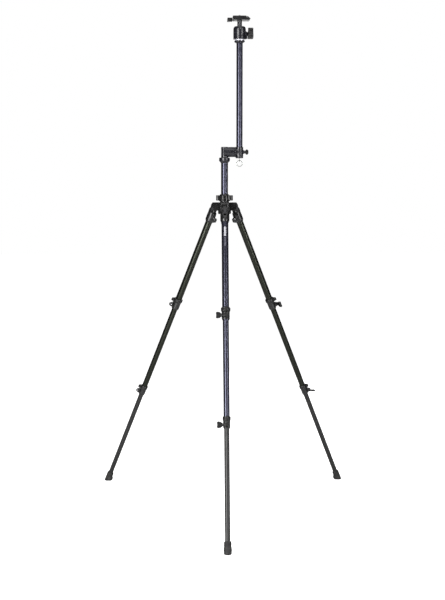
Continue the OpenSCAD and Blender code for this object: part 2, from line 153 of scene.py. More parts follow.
def rounded(points, radius, closed, steps=4):
    """An outline with round corners; a point may give its own radius as a third number."""
    out, n = [], len(points)
    for i, p in enumerate(points):
        here = Vector(p[:2])
        r = p[2] if len(p) > 2 else radius
        if r <= 0 or (not closed and i in (0, n - 1)):
            out.append(here)
            continue
        before, after = Vector(points[i - 1][:2]), Vector(points[(i + 1) % n][:2])
        a, b = before - here, after - here
        if a.length < 1e-6 or b.length < 1e-6:
            out.append(here)
            continue
        angle = a.angle(b)
        if angle > math.radians(176):
            out.append(here)
            continue
        reach = min(r / math.tan(angle / 2), 0.48 * a.length, 0.48 * b.length)
        start, end = here + a.normalized() * reach, here + b.normalized() * reach
        for k in range(steps + 1):
            t = k / steps
            out.append(start * (1 - t) ** 2 + here * 2 * t * (1 - t) + end * t ** 2)
    return out


def arc(radius, centre, start, end, steps):
    """Points of (radius, height) round a centre on the axis, by degrees from the top."""
    angles = [math.radians(start + (end - start) * k / steps) for k in range(steps + 1)]
    return [(radius * math.sin(a), centre + radius * math.cos(a)) for a in angles]


def drawn(name, points):
    """Extrudes one vertex from point to point, and leaves the line in edit mode."""
    bpy.ops.object.select_all(action="DESELECT")
    bpy.ops.mesh.primitive_plane_add(size=MM, location=(0, 0, 0))
    piece = named(bpy.context.object, name)
    bpy.ops.object.mode_set(mode="EDIT")
    bpy.ops.mesh.select_all(action="SELECT")
    bpy.ops.mesh.merge(type="CENTER")
    bpy.ops.transform.translate(value=Vector(points[0]) * MM)
    for a, b in zip(points, points[1:]):
        step = (Vector(b) - Vector(a)) * MM
        bpy.ops.mesh.extrude_vertices_move(TRANSFORM_OT_translate={"value": step})
    return piece


def closed_up(piece, threshold=1e-7):
    """Merges what meets, points the faces outwards and leaves edit mode."""
    bpy.ops.mesh.select_all(action="SELECT")
    bpy.ops.mesh.remove_doubles(threshold=threshold)
    bpy.ops.mesh.normals_make_consistent(inside=False)
    bpy.ops.object.mode_set(mode="OBJECT")
    return piece


def turned(name, outline, radius=0.5, ring=False, steps=72):
    """A piece turned round Z from an outline of (radius, height)."""
    points = rounded(outline, radius, ring)
    if ring:
        points.append(points[0])
    piece = drawn(name, [(p[0], 0, p[1]) for p in points])
    bpy.ops.mesh.select_all(action="SELECT")
    bpy.ops.mesh.spin(steps=steps, angle=math.tau, center=(0, 0, 0), axis=(0, 0, 1))
    return closed_up(piece, 2e-7)


def slab(name, outline, low, high, radius=0, bevel=0.0, segments=2, steps=4):
    """A flat piece: an outline in XZ, extruded along Y from low to high, with soft edges."""
    points = rounded(outline, radius, True, steps)
    piece = drawn(name, [(p[0], low, p[1]) for p in points])
    bpy.ops.mesh.select_all(action="SELECT")
    bpy.ops.mesh.edge_face_add()
    bpy.ops.mesh.extrude_region_move(TRANSFORM_OT_translate={"value": (0, (high - low) * MM, 0)})
    closed_up(piece)
    return softened(piece, bevel, segments) if bevel else piece


def layer(name, outline, low, high, radius, bevel, segments=2, steps=4, place=Matrix()):
    """A slab that lies level: its outline in XY, from a low height to a high one."""
    piece = slab(name, outline, low, high, radius, bevel, segments, steps)
    opened(shifted(piece, place @ LEVEL))
    return closed_up(piece)


def brick(name, a, b, bevel=0.0, segments=2):
    """A box between two corners, drawn as a slab."""
    outline = [(a[0], a[2]), (b[0], a[2]), (b[0], b[2]), (a[0], b[2])]
    return slab(name, outline, a[1], b[1], bevel=bevel, segments=segments)


def pipe(name, inner, outer, low, high):
    """A plain tube round Z with softened ends."""
    outline = [(inner, low), (outer, low), (outer, high), (inner, high)]
    return turned(name, outline, 0.3, ring=True, steps=96)


def rod(name, radius, low, high, chamfer=0.4, steps=48):
    """A plain bar round Z with chamfered ends."""
    outline = [(0, low), (radius, low), (radius, high), (0, high)]
    return turned(name, outline, chamfer, steps=steps)


def hexagon(name, radius, low, high, chamfer=0.4):
    """A hexagon bar round Z with turned-off corners."""
    outline = [(0, low), (radius, low), (radius, high), (0, high)]
    return turned(name, outline, chamfer, steps=6)


def softened(piece, width, segments=2, angle=32):
    only(piece)
    bpy.ops.object.modifier_add(type="BEVEL")
    bevel = piece.modifiers[-1]
    bevel.width = width * MM
    bevel.segments = segments
    bevel.limit_method = "ANGLE"
    bevel.angle_limit = math.radians(angle)
    bevel.miter_outer = "MITER_ARC"
    bpy.ops.object.modifier_apply(modifier=bevel.name)
    return piece


def shifted(piece, place):
    """Moves a piece by a matrix and applies it, so that the place is in the mesh."""
    only(piece)
    piece.matrix_world = place
    bpy.ops.object.transform_apply(location=True, rotation=True, scale=True)
    return piece


def copied(piece, name):
    only(piece)
    bpy.ops.object.duplicate(linked=False)
    return named(bpy.context.object, name)


def combined(piece, other, operation):
    """Unites, cuts or keeps what is common, and removes the other piece."""
    only(piece)
    bpy.ops.object.modifier_add(type="BOOLEAN")
    boolean = piece.modifiers[-1]
    boolean.operation = operation
    boolean.solver = "EXACT"
    boolean.object = other
    bpy.ops.object.modifier_apply(modifier=boolean.name)
    deleted(other)
    return piece


def united(piece, *others):
    for other in others:
        combined(piece, other, "UNION")
    return piece


def cut(piece, *tools):
    for tool in tools:
        combined(piece, tool, "DIFFERENCE")
    return piece


def joined(name, *parts):
    """Several closed shells as one piece."""
    bpy.ops.object.select_all(action="DESELECT")
    for part in parts:
        part.select_set(True)
    bpy.context.view_layer.objects.active = parts[0]
    if len(parts) > 1:
        bpy.ops.object.join()
    return named(parts[0], name)


def finished(piece, name, body, slot, finish, *nodes):
    """Smooths a piece, gives it its finish, and hangs it on its body in place of its CAD nodes."""
    only(piece)
    named(piece, name)
    bpy.ops.object.shade_smooth_by_angle(angle=SMOOTH_BELOW)
    piece.data.materials.clear()
    piece.data.materials.append(finishes()[finish])
    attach(piece, body)
    if nodes:
        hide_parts(*nodes)


def placed(piece, place, name, body, slot, finish, *nodes):
    """Moves a piece from the frame that it is drawn in to its place, and finishes it."""
    finished(shifted(piece, place), name, body, slot, finish, *nodes)


def on_each_leg(master, what, body, slot, finish, turns=None, in_cad=True):
    """Copies a piece drawn in the leg's frame to the three legs, and removes the drawn one."""
    for i, leg in enumerate(LEGS):
        name = leg + "_" + what
        place = leg_place(leg) @ turns[i] if turns else leg_place(leg)
        nodes = [name] if in_cad else []
        piece = copied(master, name)
        placed(piece, place, "leg_" + name, leg + body, slot, finish.format(leg=leg), *nodes)
    deleted(master)


# ---- finishes ----

class Finish:
    """Builds one procedural material on a Principled shader, from Object coordinates."""

    def __init__(self, name, metallic, place=None):
        self.material = bpy.data.materials.new(name)
        self.material.use_nodes = True
        self.tree = self.material.node_tree
        self.shader = self.tree.nodes["Principled BSDF"]
        self.shader.inputs["Metallic"].default_value = metallic
        self.where = self.add("ShaderNodeTexCoord").outputs["Object"]
        if place is not None:
            turn = self.add("ShaderNodeMapping")
            back = place.inverted()
            turn.inputs["Location"].default_value = back.to_translation()
            turn.inputs["Rotation"].default_value = back.to_euler()
            self.join(self.where, turn.inputs["Vector"])
            self.where = turn.outputs["Vector"]

    def add(self, kind):
        return self.tree.nodes.new(kind)

    def join(self, a, b):
        self.tree.links.new(a, b)

    def noise(self, scale, stretch=(1, 1, 1), detail=3.0, rough=0.55):
        """Noise of that many cells to the metre, stretched along an axis."""
        squeeze = self.add("ShaderNodeMapping")
        squeeze.inputs["Scale"].default_value = stretch
        self.join(self.where, squeeze.inputs["Vector"])
        node = self.add("ShaderNodeTexNoise")
        node.inputs["Scale"].default_value = scale
        node.inputs["Detail"].default_value = detail
        node.inputs["Roughness"].default_value = rough
        self.join(squeeze.outputs["Vector"], node.inputs["Vector"])
        return node.outputs["Fac"]

    def spread(self, value, low, high, start=0.3, end=0.7):
        node = self.add("ShaderNodeMapRange")
        node.inputs["From Min"].default_value = start
        node.inputs["From Max"].default_value = end
        node.inputs["To Min"].default_value = low
        node.inputs["To Max"].default_value = high
        self.join(value, node.inputs["Value"])
        return node.outputs["Result"]

    def blend(self, share, a, b):
        """Colour a where the share is 0 and b where it is 1; each is a colour or a socket."""
        node = self.add("ShaderNodeMix")
        node.data_type = "RGBA"
        self.join(share, node.inputs["Factor"])
        for key, value in (("A", a), ("B", b)):
            socket = [s for s in node.inputs if s.name == key and s.type == "RGBA"][0]
            if hasattr(value, "is_linked"):
                self.join(value, socket)
            else:
                socket.default_value = (*value[:3], 1)
        return [s for s in node.outputs if s.type == "RGBA"][0]

    def math(self, operation, a, b):
        node = self.add("ShaderNodeMath")
        node.operation = operation
        node.use_clamp = True
        for socket, value in zip(node.inputs, (a, b)):
            if hasattr(value, "is_linked"):
                self.join(value, socket)
            else:
                socket.default_value = value
        return node.outputs["Value"]

    def edges(self, radius, low=0.02, high=0.25):
        """1 along rounded edges and corners, 0 on flats."""
        bevel = self.add("ShaderNodeBevel")
        bevel.samples = 4
        bevel.inputs["Radius"].default_value = radius * MM
        flat = self.add("ShaderNodeNewGeometry")
        dot = self.add("ShaderNodeVectorMath")
        dot.operation = "DOT_PRODUCT"
        self.join(bevel.outputs["Normal"], dot.inputs[0])
        self.join(flat.outputs["Normal"], dot.inputs[1])
        return self.spread(self.math("SUBTRACT", 1.0, dot.outputs["Value"]), 0, 1, low, high)

    def bump(self, *layers):
        """Bump layers as (height, strength, depth in mm)."""
        normal = None
        for height, strength, depth in layers:
            node = self.add("ShaderNodeBump")
            node.inputs["Strength"].default_value = strength
            node.inputs["Distance"].default_value = depth * MM
            self.join(height, node.inputs["Height"])
            if normal is not None:
                self.join(normal, node.inputs["Normal"])
            normal = node.outputs["Normal"]
        self.join(normal, self.shader.inputs["Normal"])

    def use(self, colour, roughness):
        self.join(colour, self.shader.inputs["Base Color"])
        self.join(roughness, self.shader.inputs["Roughness"])
        return self.material


def shade(colour, factor):
    return tuple(min(1.0, c * factor) for c in colour[:3])


def anodised(name, colour, place, roughness=0.3, metallic=0.9):
    """Drawn and anodised tube: fine lines along it, faint clouding and rubbed streaks."""
    f = Finish(name, metallic, place)
    lines = f.noise(900, (1, 1, 0.006), 4, 0.6)
    streaks = f.noise(260, (1, 1, 0.02), 2, 0.5)
    cloud = f.noise(14, (1, 1, 0.4), 3, 0.6)
    marks = f.spread(f.math("MULTIPLY", streaks, cloud), 0, 1, 0.30, 0.42)
    base = f.blend(f.spread(lines, 0, 1), shade(colour, 0.86), shade(colour, 1.12))
    base = f.blend(f.math("MULTIPLY", marks, 0.35), base, shade(colour, 1.5))
    rough = f.math("ADD", f.spread(lines, roughness - 0.05, roughness + 0.05),
        f.math("MULTIPLY", marks, 0.08))
    f.bump((lines, 0.12, 0.02), (cloud, 0.05, 0.1))
    return f.use(base, rough)


def coated(name, colour, roughness=0.46, metallic=0.0):
    """Powder coat on a casting: fine orange peel, speckle, and metal showing through at worn edges."""
    f = Finish(name, metallic)
    peel = f.noise(700, detail=3)
    speck = f.noise(2600, detail=2)
    cloud = f.noise(30, detail=3)
    worn = f.math("MULTIPLY", f.edges(0.5), f.spread(f.noise(240, detail=4), 0, 0.5, 0.46, 0.66))
    base = f.blend(f.spread(speck, 0, 1), shade(colour, 0.8), shade(colour, 1.2))
    base = f.blend(f.spread(cloud, 0, 0.35), base, shade(colour, 1.45))
    base = f.blend(worn, base, (0.10, 0.10, 0.105))
    rough = f.math("SUBTRACT", f.spread(cloud, roughness - 0.05, roughness + 0.07),
        f.math("MULTIPLY", worn, 0.2))
    f.bump((peel, 0.35, 0.06), (speck, 0.2, 0.02))
    return f.use(base, rough)


def moulded(name, colour, roughness=0.5):
    """Glass-filled nylon with a spark-eroded skin, paler where hands rub it."""
    f = Finish(name, 0.0)
    skin = f.noise(2200, detail=4, rough=0.65)
    cloud = f.noise(45, detail=2)
    rubbed = f.math("MULTIPLY", f.edges(0.8), f.spread(cloud, 0.1, 0.6))
    base = f.blend(f.spread(skin, 0, 1), shade(colour, 0.75), shade(colour, 1.25))
    base = f.blend(rubbed, base, shade(colour, 2.6))
    rough = f.math("SUBTRACT", f.spread(skin, roughness - 0.06, roughness + 0.08),
        f.math("MULTIPLY", rubbed, 0.18))
    f.bump((skin, 0.4, 0.03), (cloud, 0.08, 0.2))
    return f.use(base, rough)


def rubbery(name, colour, dust=(0.16, 0.15, 0.14)):
    """Matte rubber with fine pores and a little dust in the low spots."""
    f = Finish(name, 0.0)
    pores = f.noise(1600, detail=5, rough=0.7)
    cloud = f.noise(60, detail=4)
    base = f.blend(f.spread(pores, 0, 1), shade(colour, 0.7), shade(colour, 1.3))
    base = f.blend(f.math("MULTIPLY", f.spread(cloud, 0, 0.35, 0.5, 0.75), f.spread(pores, 0.3, 1)), base,
        dust)
    f.bump((pores, 0.5, 0.05), (cloud, 0.15, 0.3))
    return f.use(base, f.spread(pores, 0.72, 0.88))


def metal(name, colour, roughness, place=None, brushed=(1, 1, 1)):
    """Bare or plated metal with fine machining lines and faint stains."""
    f = Finish(name, 1.0, place)
    lines = f.noise(1500, brushed, 4, 0.6)
    stain = f.noise(90, detail=3)
    base = f.blend(f.spread(lines, 0, 1), shade(colour, 0.88), shade(colour, 1.06))
    base = f.blend(f.spread(stain, 0, 0.25, 0.5, 0.8), base, shade(colour, 0.7))
    f.bump((lines, 0.15, 0.015))
    return f.use(base, f.spread(lines, roughness - 0.05, roughness + 0.08))


def finishes():
    """Every material of the tripod, made once and kept by name."""
    c = bpy.context.scene.tripod_colours
    if not finishes.made:
        made = {
            "casting": coated("powder coat", c.casting, 0.3),
            "hinge_casting": coated("powder coat, hinges", c.hinges, 0.3),
            "steel": metal("zinc-plated steel", c.steel, 0.3),
            "black_steel": metal("black-oxide steel", c.black_steel, 0.34),
            "black_plastic": moulded("moulded nylon", c.plastic, 0.4),
            "knob_plastic": moulded("moulded nylon, hand screws", c.plastic, 0.34),
            "rubber": rubbery("foot rubber", c.rubber),
            "pad": rubbery("plate cork rubber", c.pad, (0.2, 0.18, 0.16)),
            "bright_wire": metal("satin wire", c.wire, 0.38),
            "silver": coated("satin silver", c.silver, 0.3, 0.35),
            "badge": metal("badge enamel", c.badge, 0.45),
            "printed": metal("faint print", c.print, 0.5),
            "ball_metal": metal("grey ball", c.ball, 0.32, MAST, (0.02, 0.02, 1)),
            "plate_metal": coated("anodised plate", c.plate, 0.4, 0.4),
            "column_tube": anodised("anodised tube, column", c.tube, COLUMN),
            "mast_tube": anodised("anodised tube, mast", c.tube, MAST),
        }
        for leg in LEGS:
            # the side legs take the darker side colour, which paints shade on the same anodised tube
            tube = c.tube if leg == "front" else c.side_tube
            made[leg + "_tube"] = anodised("anodised tube, " + leg + " leg", tube, leg_place(leg))
            made[leg + "_matte"] = anodised("matte tube, " + leg + " leg", c.matte_tube, leg_place(leg), 0.42,
                0.7)
        finishes.made = made
    return finishes.made


finishes.made = {}


def wire_loop(name, centre, radius, wire, axis, degrees):
    """A loop of round wire round a level axis, starting under its centre; sizes in metres."""
    bpy.ops.object.select_all(action="DESELECT")
    bpy.ops.mesh.primitive_circle_add(vertices=20, radius=wire, fill_type="NGON", location=(0, 0, 0))
    loop = named(bpy.context.object, name)
    facing = Vector(axis).cross(Vector((0, 0, 1))).to_track_quat("Z", "Y").to_matrix().to_4x4()
    shifted(loop, Matrix.Translation(centre + Vector((0, 0, -radius))) @ facing)
    opened(loop)
    bpy.ops.mesh.spin(steps=88, angle=math.radians(degrees), center=centre, axis=axis)
    return closed_up(loop, 1e-6)


# ---- what a user can change ----

def colour(name, description, default):
    return FloatVectorProperty(
        name=name, description=description, default=default, size=3, min=0, max=1, subtype="COLOR"
    )


class TripodColours(bpy.types.PropertyGroup):
    casting: colour("Castings", "Powder coat of the arm and head castings", (0.007, 0.007, 0.010))
    hinges: colour("Hinge castings", "Powder coat of the spider and the leg sockets", (0.006, 0.006, 0.006))
    steel: colour("Steel", "Plated pivot, stud and camera screw", (0.52, 0.52, 0.54))
    black_steel: colour("Black steel", "Blackened bolts and stop tabs", (0.055, 0.055, 0.058))
    plastic: colour("Plastic", "Moulded locks, wing screws and knobs", (0.005, 0.005, 0.005))
    rubber: colour("Rubber", "Rubber feet", (0.012, 0.012, 0.012))
    pad: colour("Pad", "Pad on the quick plate", (0.030, 0.028, 0.026))
    wire: colour("Ring wire", "Hook ring and the eye that it hangs on", (0.42, 0.44, 0.42))
    silver: colour("Silver", "Bright ring under the head", (0.50, 0.50, 0.56))
    badge: colour("Badge", "Plain badge on the front leg", (0.58, 0.58, 0.62))
    print: colour("Print", "Faint line below the badge", (0.22, 0.22, 0.26))
    ball: colour("Ball", "Ball and its stem", (0.075, 0.075, 0.08))
    plate: colour("Plate", "Quick plate and platform", (0.008, 0.008, 0.009))
    tube: colour("Tubes", "Anodised column, mast and front leg", (0.050, 0.051, 0.072))
    # side legs: a darker, olive copy of the tube colour, painted shade for the strip-light highlights that the
    # tilted legs miss
    side_tube: colour("Side tubes", "Anodised side legs", (0.026, 0.028, 0.022))
    matte_tube: colour("Lower tubes", "Lowest section of each leg", (0.034, 0.034, 0.034))


class TripodSizes(bpy.types.PropertyGroup):
    edge: FloatProperty(name="Edge radius", description="Rounding of cast edges, in mm", default=0.6, min=0.1)
    rib_count: IntProperty(name="Pad ribs", description="Ribs across the quick plate's pad", default=11,
        min=3)
    turns: IntProperty(name="Screw turns", description="Thread turns shown on the camera screw", default=4,
        min=2)


def amount(name, description, default, **more):
    return FloatProperty(name=name, description=description, default=default, **more)


class TripodStage(bpy.types.PropertyGroup):
    lens: amount("Lens", "Camera lens in mm on a 36 mm sensor", 57.41)
    back: amount("Distance", "Camera's distance in front of the column", 3.564, unit="LENGTH")
    side: amount("Sideways", "Camera's place to the right of the column", -0.071, unit="LENGTH")
    height: amount("Height", "Camera's height over the floor", 1.1713, unit="LENGTH")
    pitch: amount("Pitch", "How far the camera looks down", math.radians(6.36), subtype="ANGLE")
    yaw: amount("Yaw", "How far the camera turns to the right", math.radians(1.02), subtype="ANGLE")
    strip: amount("Strip light", "Power of the left strip light in watts, which the others follow", 115.0)
    sky: amount("Fill", "Brightness of the soft light from all round", 0.06)


# ---- leg pieces ----

class PieceOperator:
    bl_options = {"REGISTER", "UNDO"}


def tube(name, outer, inner, top, end, guide):
    """One telescopic section: bore, guide ring at the top and chamfered lower end."""
    outline = [(inner, top), (guide, top), (guide, top - 12), (outer, top - 12.6), (outer, end), (inner, end)]
    return turned(name, outline, 0.35, ring=True, steps=96)


class TRIPOD_OT_leg_tubes(PieceOperator, bpy.types.Operator):
    """Make the three telescopic sections of each leg"""

    bl_idname = "tripod.leg_tubes"
    bl_label = "Leg Tubes"

    def execute(self, context):
        for what, outer in LEG_OUTER.items():
            low, high = span("front_" + what + "_tube", leg_place("front"))
            guide = outer if what == "upper" else high.x
            master = tube(what, outer, LEG_INNER[what], high.z, low.z, guide)
            slot, finish = ("matte_tube", "{leg}_matte") if what == "lower" else ("anodised_tube", "{leg}_tube")
            on_each_leg(master, what + "_tube", "_" + what, slot, finish)
        return {"FINISHED"}


class TRIPOD_OT_badge(PieceOperator, bpy.types.Operator):
    """Make the plain badge and the faint printed line below it on the front leg"""

    bl_idname = "tripod.badge"
    bl_label = "Badge"

    def execute(self, context):
        place = leg_place("front")
        low, high = span("badge", place)
        badge = self.strip("badge", LEG_OUTER["upper"], 13.0, high.z - 0.2, low.z + 0.2, 3.6)
        grooves = [
            self.strip("groove", 12.9, 13.2, low.z + z + 0.35, low.z + z - 0.35, 5) for z in (9, 27)
        ]
        cut(badge, *grooves)
        placed(badge, place, "front_badge", "front_upper", "silver", "badge", "badge")
        line = self.strip("line", 12.45, 12.56, low.z - 5, low.z - 38, 1.5)
        placed(line, place, "front_printed_line", "front_upper", "silver", "printed")
        return {"FINISHED"}

    def strip(self, name, inner, outer, top, end, half):
        """A curved strip on the tube: an arc of the tube's wall, spun through a few degrees."""
        piece = drawn(name, [(inner, 0, top), (outer, 0, top), (outer, 0, end), (inner, 0, end),
            (inner, 0, top)])
        bpy.ops.mesh.select_all(action="SELECT")
        bpy.ops.mesh.remove_doubles(threshold=1e-7)
        bpy.ops.mesh.edge_face_add()
        turn = math.asin(half / outer)
        bpy.ops.transform.rotate(value=turn, orient_axis="Z", center_override=(0, 0, 0))
        bpy.ops.mesh.spin(steps=10, angle=-2 * turn, center=(0, 0, 0), axis=(0, 0, 1))
        closed_up(piece)
        ys = [v.co.y for v in piece.data.vertices]
        return shifted(piece, Matrix.Rotation(-math.atan2((max(ys) + min(ys)) / 2, outer * MM), 4, "Z"))


class TRIPOD_OT_sockets(PieceOperator, bpy.types.Operator):
    """Make the cast socket at the top of each leg"""

    bl_idname = "tripod.sockets"
    bl_label = "Leg Sockets"

    def execute(self, context):
        edge = context.scene.tripod_sizes.edge
        sleeve = turned("sleeve", [(0, -10), (10, -10, 1), (15.6, -16, 4), (16.7, -24, 6), (16.75, -43, 3),
            (16.6, -47, 1.5), (13.6, -55, 0.8), (0, -55)], 0.6, steps=96)
        side = slab("side", [(-11, -8, 2), (11, -8, 2), (13.2, -22, 8), (15.4, -33, 8), (17, -43), (17, -56),
            (-17, -56), (-17, -43), (-15.4, -33, 8), (-13.2, -22, 8)], -18, 18, 0)
        combined(sleeve, side, "INTERSECT")
        softened(sleeve, 0.8, 3, 24)
        knuckle = arc(10.5, 0, -60, 60, 12)
        neck = slab("neck", [(-8.9, -20), (-9.1, 0), *knuckle, (11.9, 0, 3), (14.1, -5, 3), (14.5, -12, 3),
            (13.1, -24)], -9.7, 9.7, bevel=1.0, segments=3)
        lug = slab("lug", [(-25, -34.5, 3), (-21, -31.5, 3), (-12, -31.5, 1), (-12, -49.5, 1),
            (-21, -49.5, 3), (-25, -46.5, 3)], -6, 6, 1, bevel=edge)
        united(sleeve, neck, lug)
        cut(
            sleeve,
            turned("bore", [(0, -36), (12.5, -36), (12.5, -60), (0, -60)], 0, steps=96),
            brick("pocket", (8.3, -5.3, -33), (22, 5.3, 13)),
            shifted(rod("pin hole", 3.05, -12, 12, 0), along((0, 1, 0))),
            brick("split", (-27, -0.6, -52.5), (-12.1, 0.6, -36.5)),
        )
        softened(sleeve, 0.3, 2, 40)
        on_each_leg(sleeve, "socket", "_upper", "casting", "hinge_casting")
        return {"FINISHED"}


class TRIPOD_OT_leg_bolts(PieceOperator, bpy.types.Operator):
    """Make each leg's pinch bolt and spread-angle stop tab"""

    bl_idname = "tripod.leg_bolts"
    bl_label = "Leg Bolts and Stops"

    def execute(self, context):
        at = (-20.2, 0, -40.5)
        shaft = rod("shaft", 2.5, -6.2, 6.2, 0.2)
        head = turned("head", [(0, -9.4), (1.9, -9.4, 0), (1.9, -7.6, 0), (2.1, -7.5, 0), (2.1, -9.4, 0.1),
            (4.1, -9.4, 0.6), (4.1, -6, 0.2), (0, -6)], 0.2)
        nut = hexagon("nut", 4.2, 6, 9, 0.5)
        bolt = shifted(joined("bolt", shaft, head, nut), along((0, 1, 0), at))
        on_each_leg(bolt, "pinch_bolt", "_upper", "steel", "black_steel")
        tab = slab("tab", [(8.6, -5, 0.6), (11.6, -5, 0.6), (11.6, -21, 1.2), (16.2, -21, 0.8),
            (16.2, -26, 0.8), (8.6, -26, 2.5)], -5, 5, 0.6, bevel=0.5)
        ribs = [brick("rib", (12.6 + 1.3 * k, -6, -21.5), (13.1 + 1.3 * k, 6, -20.5)) for k in range(3)]
        cut(tab, *ribs)
        on_each_leg(tab, "stop_tab", "_stop", "steel", "black_steel")
        return {"FINISHED"}


def lock_piece(name, top, end, bore, inner, seat, flange, clamp, screw_x, screw_z, ear, block_reach):
    """A tube lock: ribbed collar on the outer tube, split clamp with two ears round the inner one."""
    ribs = []
    for k in range(3):
        z = top - 3.4 - 2.6 * k
        ribs += [(flange, z, 0.2), (flange - 0.55, z - 0.4, 0.15), (flange - 0.55, z - 1.0, 0.15),
            (flange, z - 1.4, 0.2)]
    outline = [(0, top), (flange - 1.2, top, 0.4), (flange, top - 2, 0.8), *ribs, (flange, top - 10.4, 0.8),
        (clamp + 0.6, top - 14, 1.2), (clamp, top - 16, 0.8), (clamp, end + 5, 0.8), (clamp - 1.2, end, 0.4),
        (0, end)]
    lock = turned(name, outline, 0.4, steps=96)
    block = slab("block", [(flange - 4, top - 7), (block_reach, top - 7, 1.6), (block_reach, top - 18, 2.2),
        (flange - 4, top - 18)], -6.5, 6.5, 0.6, bevel=0.9, segments=3)
    cheek = slab("ears", [(clamp - 4, screw_z + 7), (screw_x, screw_z + 7, 3),
        (screw_x + 5.5, screw_z + 5, 2.5), (screw_x + 6.5, screw_z + 2, 2), (screw_x + 6.5, screw_z - 2, 2),
        (screw_x + 5.5, screw_z - 5, 2.5), (screw_x, screw_z - 7, 3), (clamp - 4, screw_z - 7)], -ear, ear, 1,
        bevel=0.8, segments=3)
    united(lock, block, cheek)
    hole = [(0, top + 5), (bore, top + 5), (bore, seat), (inner + 0.05, seat), (inner + 0.05, end - 5),
        (0, end - 5)]
    cut(
        lock,
        turned("hole", hole, 0, steps=96),
        brick("split", (inner - 1, -0.9, end - 2), (screw_x + 12, 0.9, top - 21)),
        shifted(rod("screw hole", 2.6, -ear - 2, ear + 2, 0), along((0, 1, 0), (screw_x, 0, screw_z))),
        shifted(hexagon("nut seat", 4.4, ear - 2.2, ear + 3, 0), along((0, 1, 0), (screw_x, 0, screw_z))),
    )
    return lock


class TRIPOD_OT_locks(PieceOperator, bpy.types.Operator):
    """Make the upper and lower tube locks of each leg, with their nuts"""

    bl_idname = "tripod.locks"
    bl_label = "Tube Locks"

    def execute(self, context):
        for which, carrier, carried, flange, clamp, reach, seat in (
            ("upper", "upper", "middle", 17, 14.2, 26, 17),
            ("lower", "middle", "lower", 14, 12.2, 23, 15),
        ):
            what, body = which + "_lock", "_" + carrier
            screw_x, drop, ear = LOCK_SCREWS[which]
            low, high = span("front_" + what, leg_place("front"))
            screw_z = high.z - drop
            lock = lock_piece(what, high.z, low.z, LEG_OUTER[carrier], LEG_OUTER[carried], high.z - seat,
                flange, clamp, screw_x, screw_z, ear, reach)
            nut = hexagon("nut", 4.0, ear - 2, ear - 0.15, 0.3)
            shifted(nut, along((0, 1, 0), (screw_x, 0, screw_z)))
            on_each_leg(lock, what, body, "black_plastic", "black_plastic")
            on_each_leg(nut, what + "_nut", body, "steel", "steel", in_cad=False)
        return {"FINISHED"}


def wing(name, ear):
    """A lock's wing screw: shaft, ribbed neck and a flat flared wing, drawn unturned."""
    shaft = rod("shaft", 2.5, -ear - 2, ear - 2.2, 0.3)
    neck = turned("neck", [(0, -ear - 7), (3.4, -ear - 7, 0.4), (4.0, -ear - 4, 0.6), (3.5, -ear - 3, 0.2),
        (3.5, -ear - 2.4, 0.2), (4.0, -ear - 1.8, 0.3), (4.0, -ear - 0.4, 0.3), (0, -ear - 0.4)])
    shafts = [shifted(part, along((0, 1, 0))) for part in (shaft, neck)]
    outline = [(3.5, -ear - 4, 1), (8, -ear - 10, 3), (10.5, -ear - 13, 1.5), (11.5, -ear - 23, 2.5),
        (9, -ear - 26, 3), (0, -ear - 24.8, 8), (-9, -ear - 26, 3), (-11.5, -ear - 23, 2.5),
        (-10.5, -ear - 13, 1.5), (-8, -ear - 10, 3), (-3.5, -ear - 4, 1)]
    flat = slab("flat", outline, -3.25, 3.25, 1, bevel=1.5, segments=4)
    opened(flat)
    bpy.ops.mesh.bisect(plane_co=(0, 0, (-ear - 13) * MM), plane_no=(0, 0, 1))
    closed_up(flat)
    dish = [slab("dish", [(4.4, -ear - 12, 1.5), (8.6, -ear - 14.5, 1.5), (9, -ear - 22, 1.5),
        (4.8, -ear - 22, 1.5)], a, b, 1) for a, b in ((2.65, 4), (-4, -2.65))]
    dish += [shifted(copied(d, "dish"), Matrix.Rotation(math.pi, 4, "Z")) for d in list(dish)]
    cut(flat, *dish)
    united(shifted(flat, STANDING), *shafts)
    return named(flat, name)


class TRIPOD_OT_wing_screws(PieceOperator, bpy.types.Operator):
    """Make the wing screw of each tube lock, turned as its CAD node is"""

    bl_idname = "tripod.wing_screws"
    bl_label = "Wing Screws"

    def execute(self, context):
        for which, turns in (("upper", (0, 0, 70)), ("lower", (0, -62, 55))):
            x, drop, ear = LOCK_SCREWS[which]
            top = span("front_" + which + "_lock", leg_place("front"))[1].z
            screw = Matrix.Translation((x * MM, 0, (top - drop) * MM))
            places = [screw @ Matrix.Rotation(math.radians(t), 4, "Y") for t in turns]
            on_each_leg(wing("wing", ear), which + "_wing", "_" + which + "_screw", "black_plastic",
                "knob_plastic", places)
        return {"FINISHED"}


class TRIPOD_OT_feet(PieceOperator, bpy.types.Operator):
    """Make the ribbed rubber foot of each leg, cut flat at the floor"""

    bl_idname = "tripod.feet"
    bl_label = "Rubber Feet"

    def execute(self, context):
        place = leg_place("front")
        top = span("front_foot", place)[1].z
        outline = [(0, top), (10.4, top, 0.8), (12.2, top - 3, 0.8)]
        for k in range(4):
            z = top - 5.2 - 3.1 * k
            outline += [(12.9, z, 0.4), (12.9, z - 1.7, 0.4), (12.25, z - 2.0, 0.2), (12.25, z - 2.8, 0.2)]
        outline += [(13, top - 18.6, 0.6), (13, top - 53, 0), (0, top - 53)]
        boot = turned("boot", outline, 0.4, steps=80)
        end = top - 27.1
        ball = turned("ball", arc(14, end, 0, 180, 24), 0, steps=80)
        shifted(ball, Matrix.Translation((-3.5 * MM, 0, 0)))
        united(boot, ball)
        cut(boot, rod("bore", LEG_OUTER["lower"], top - 26, top + 2, 0, 80))
        up = place.inverted().to_3x3() @ Vector((0, 0, 1))
        floor = place.inverted() @ Vector((0, 0, 0))
        opened(boot)
        bpy.ops.mesh.bisect(plane_co=floor, plane_no=up, use_fill=True, clear_inner=True)
        closed_up(boot)
        softened(boot, 0.5, 2, 50)
        on_each_leg(boot, "foot", "_lower", "rubber", "rubber")
        return {"FINISHED"}


# ---- spider, nut and column ----

